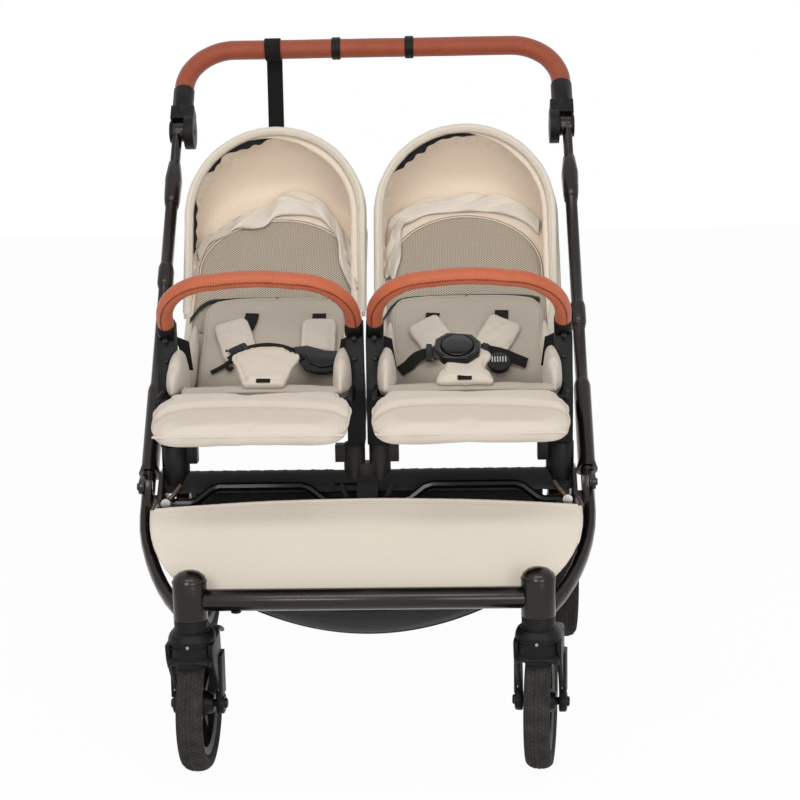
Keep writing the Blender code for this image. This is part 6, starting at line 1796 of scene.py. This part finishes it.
def crossbar_apron():
    """The black cloth that hangs from the docking crossbar down into the basket."""
    rows = []
    for i in range(15):
        share = i / 14
        row = []
        for j in range(81):
            x = -0.27 + 0.54 * j / 80
            swell = 0.003 * noise.noise(Vector((x * 8, share * 2.0, 6.0))) * sin(pi * share) ** 0.5
            row.append(at(x, 0.212 + 0.023 * share - 0.005 * sin(pi * share) + swell,
                          0.385 - 0.085 * share))
        rows.append(row)
    lay_sheet("crossbar_apron", [cloth(rows)], "felt", 0.0014, (0.54, 0.095), "hung", ["seat_crossbar"],
              "chassis")


def crossbar():
    """The docking crossbar in its brushed cloth sleeve, drawn tight, with a sewn seam below."""
    low, high = corners("seat_crossbar")
    dress("seat_crossbar", "felt", "chassis", 0.001, "crossbar_core")
    for number, (start, end) in enumerate(((low.x + 0.002, -0.05), (0.05, high.x - 0.002))):
        rings = []
        for i in range(61):
            x = start + (end - start) * i / 60
            r = 0.0172 + 0.0006 * sin(i * 1.9) * sin(i * 0.7) - 0.0006 * (i in (0, 60))
            rings.append([at(x, 0.2, 0.3985) + Y_AXIS * r * cos(a) + Z_AXIS * r * sin(a)
                          for a in turns(28)])
        show(f"crossbar_sleeve_{number + 1}", [skin(rings)], "felt", "chassis", smooth=60)


DISC = [(0, 0.0075), (0.003, 0.008), (0.005, 0.0074), (0.0052, 0.003), (0.0035, 0.0028), (0.0035, 0.0)]
LINKS = (("outer", ((0.2995, 0.15, 0.3835), (0.291, 0.156, 0.392), (0.284, 0.166, 0.4005)), 0.005, "bronze"),
         ("inner", ((0.03, 0.15, 0.383), (0.0345, 0.157, 0.39), (0.0385, 0.166, 0.3985)), 0.0055, "grey"))
HOUSING_EDGE = [(0, 0.0248), (0.0006, 0.0256), (0.0014, 0.0256), (0.0022, 0.0248)]


def fittings():
    """Screws, pivot discs, links and plugs."""
    for which, side in SIDES:
        mid_x = side * SEAT_X
        spots = [(at(mid_x + hand * 0.1425, back, height), X_AXIS, Vector((0, -0.85, 0.5)))
                 for hand in (-1, 1) for back, height in ((0.177, 0.6235), (0.1755, 0.593))]
        screws("arm_screws_" + which, spots, 0.0042, "steel_dark", "seat_" + which)
        disc = turned(at(side * 0.3025, 0.134, 0.382), Vector((0, -1, 0.1)).normalized(), DISC, 28)
        show("link_disc_" + which, [disc], "steel", "chassis")
        for name, points, wide, mat in LINKS:
            line = [at(side * x, back, height) for x, back, height in points]
            section = rounded_box(-0.003, 0.003, -wide, wide, 0.002, 3)
            show(f"link_{name}_{which}", [sweep(line, section, X_AXIS)], mat, "chassis")
    for which, side in SIDES:
        edge = turned(at(side * 0.251, 0, 0.2995), Z_AXIS, HOUSING_EDGE, 48)
        show("housing_edge_" + which, [edge], "frame", "chassis")
    plug = turned(at(-0.185, 0, 0.2568), -Z_AXIS, [(0, 0.0075), (0.003, 0.0075), (0.004, 0.006)], 20)
    show("front_bar_plug", [plug], "nylon", "chassis")


def body_screws():
    """Screws at the axles and on the mudguards."""
    for which, _ in SIDES:
        axis = wheel_axis("front_tyre_" + which)
        centre = node_centre("front_tyre_" + which)
        ahead = axis.cross(Z_AXIS)
        ahead = ahead if ahead.y < 0 else -ahead
        body = "caster_" + which
        spots = [(centre + axis * hand * 0.0383, Z_AXIS, axis * hand) for hand in (-1, 1)]
        screws("axle_screws_" + which, spots, 0.0075, "steel_dark", body)
        angle = radians(61)
        guard = centre + (ahead * cos(angle) + Z_AXIS * sin(angle)) * 0.1168
        screws("guard_screw_" + which, [(guard, axis, (guard - centre).normalized())], 0.003, "steel", body)


# Everything in order

for which, side in SIDES:
    centre = side * SEAT_X
    hood_rim(which, centre)
    back_shell(which, centre)
    hood_cover(which, centre)
    hood_lining(which, centre)
    hood_binding_and_gap_shade(which, centre)
    hood_roll(which, centre)
    mesh_window(which, centre)
    gathered_flap(which, centre)
    # painted shade in the gap above the seat liner
    painted_liner_gap_shade(which, centre)
    seat_liner(which, centre)
    bumper(which, centre)
    buckle(which)
    for hand_name, hand in SIDES:
        side_gusset(which, centre, hand_name, hand)

pads = []
for which, side in SIDES:
    centre = side * SEAT_X
    for number, (made, cap, body) in enumerate(side_pads(which, centre)):
        pads.append((made, cap, (finish_side_pad, body, number * 3 + side)))
    made, cap = calf_pad(which)
    pads.append((made, cap, (finish_calf_pad, which, centre)))
    made, cap = crotch_shield(which, centre)
    pads.append((made, cap, (finish_crotch_shield, which, centre)))
    for hand_name, hand in SIDES:
        made, cap = shoulder_pad(which, hand_name, hand, centre)
        pads.append((made, cap, (finish_shoulder_pad, which, hand_name, hand, centre)))
blow_up([(made, cap) for made, cap, job in pads])
for made, cap, job in pads:
    job[0](made, *job[1:])

left_harness(-SEAT_X)
right_harness(SEAT_X)
handle()
wrist_strap()
for which, side in SIDES:
    tyre("front", which, 0.1, 0.04, 0.024, 84)
    tyre("rear", which, 0.1423, 0.045, 0.03, 110)
for which, side in SIDES:
    caster_fork(which, side)
front_panel()
basket_bin()
# painted shade: a black sheet for the dark inside of the basket
basket_front()
crossbar_apron()
crossbar()
fittings()
body_screws()

dress("arched_tube", "gloss", "chassis", 0.0)
dress("centre_adapter", "grey", "chassis", 0.0008)
dress("rear_axle", "frame", "rear_frame", 0.0006)
dress("brake_pedal", "brake", "brake", 0.0015)
# A body that ends in _ is one of two
DRESSED = (("outer_adapter_", "nylon", "chassis", 0.0008), ("caster_housing_", "frame", "chassis", 0.0008),
           ("front_rim_", "rim", "front_wheel_", 0.0006), ("rear_rim_", "rim", "rear_wheel_", 0.0008),
           ("rear_leg_", "frame", "rear_frame", 0.0006), ("push_tube_", "frame", "push_frame", 0.0005),
           ("height_stem_", "frame", "height_stems", 0.0004), ("handle_knuckle_", "nylon", "handle", 0.0008),
           ("seat_frame_", "nylon", "seat_", 0.0014))
for which, side in SIDES:
    for node, mat, body, width in DRESSED:
        dress(node + which, mat, body + which if body.endswith("_") else body, width)
dress("front_crossbar", "frame", "chassis", 0.0005, "front_bar")
for which, side in SIDES:
    dress("side_tube_" + which, "frame", "chassis", 0.0004, "side_rail_" + which)
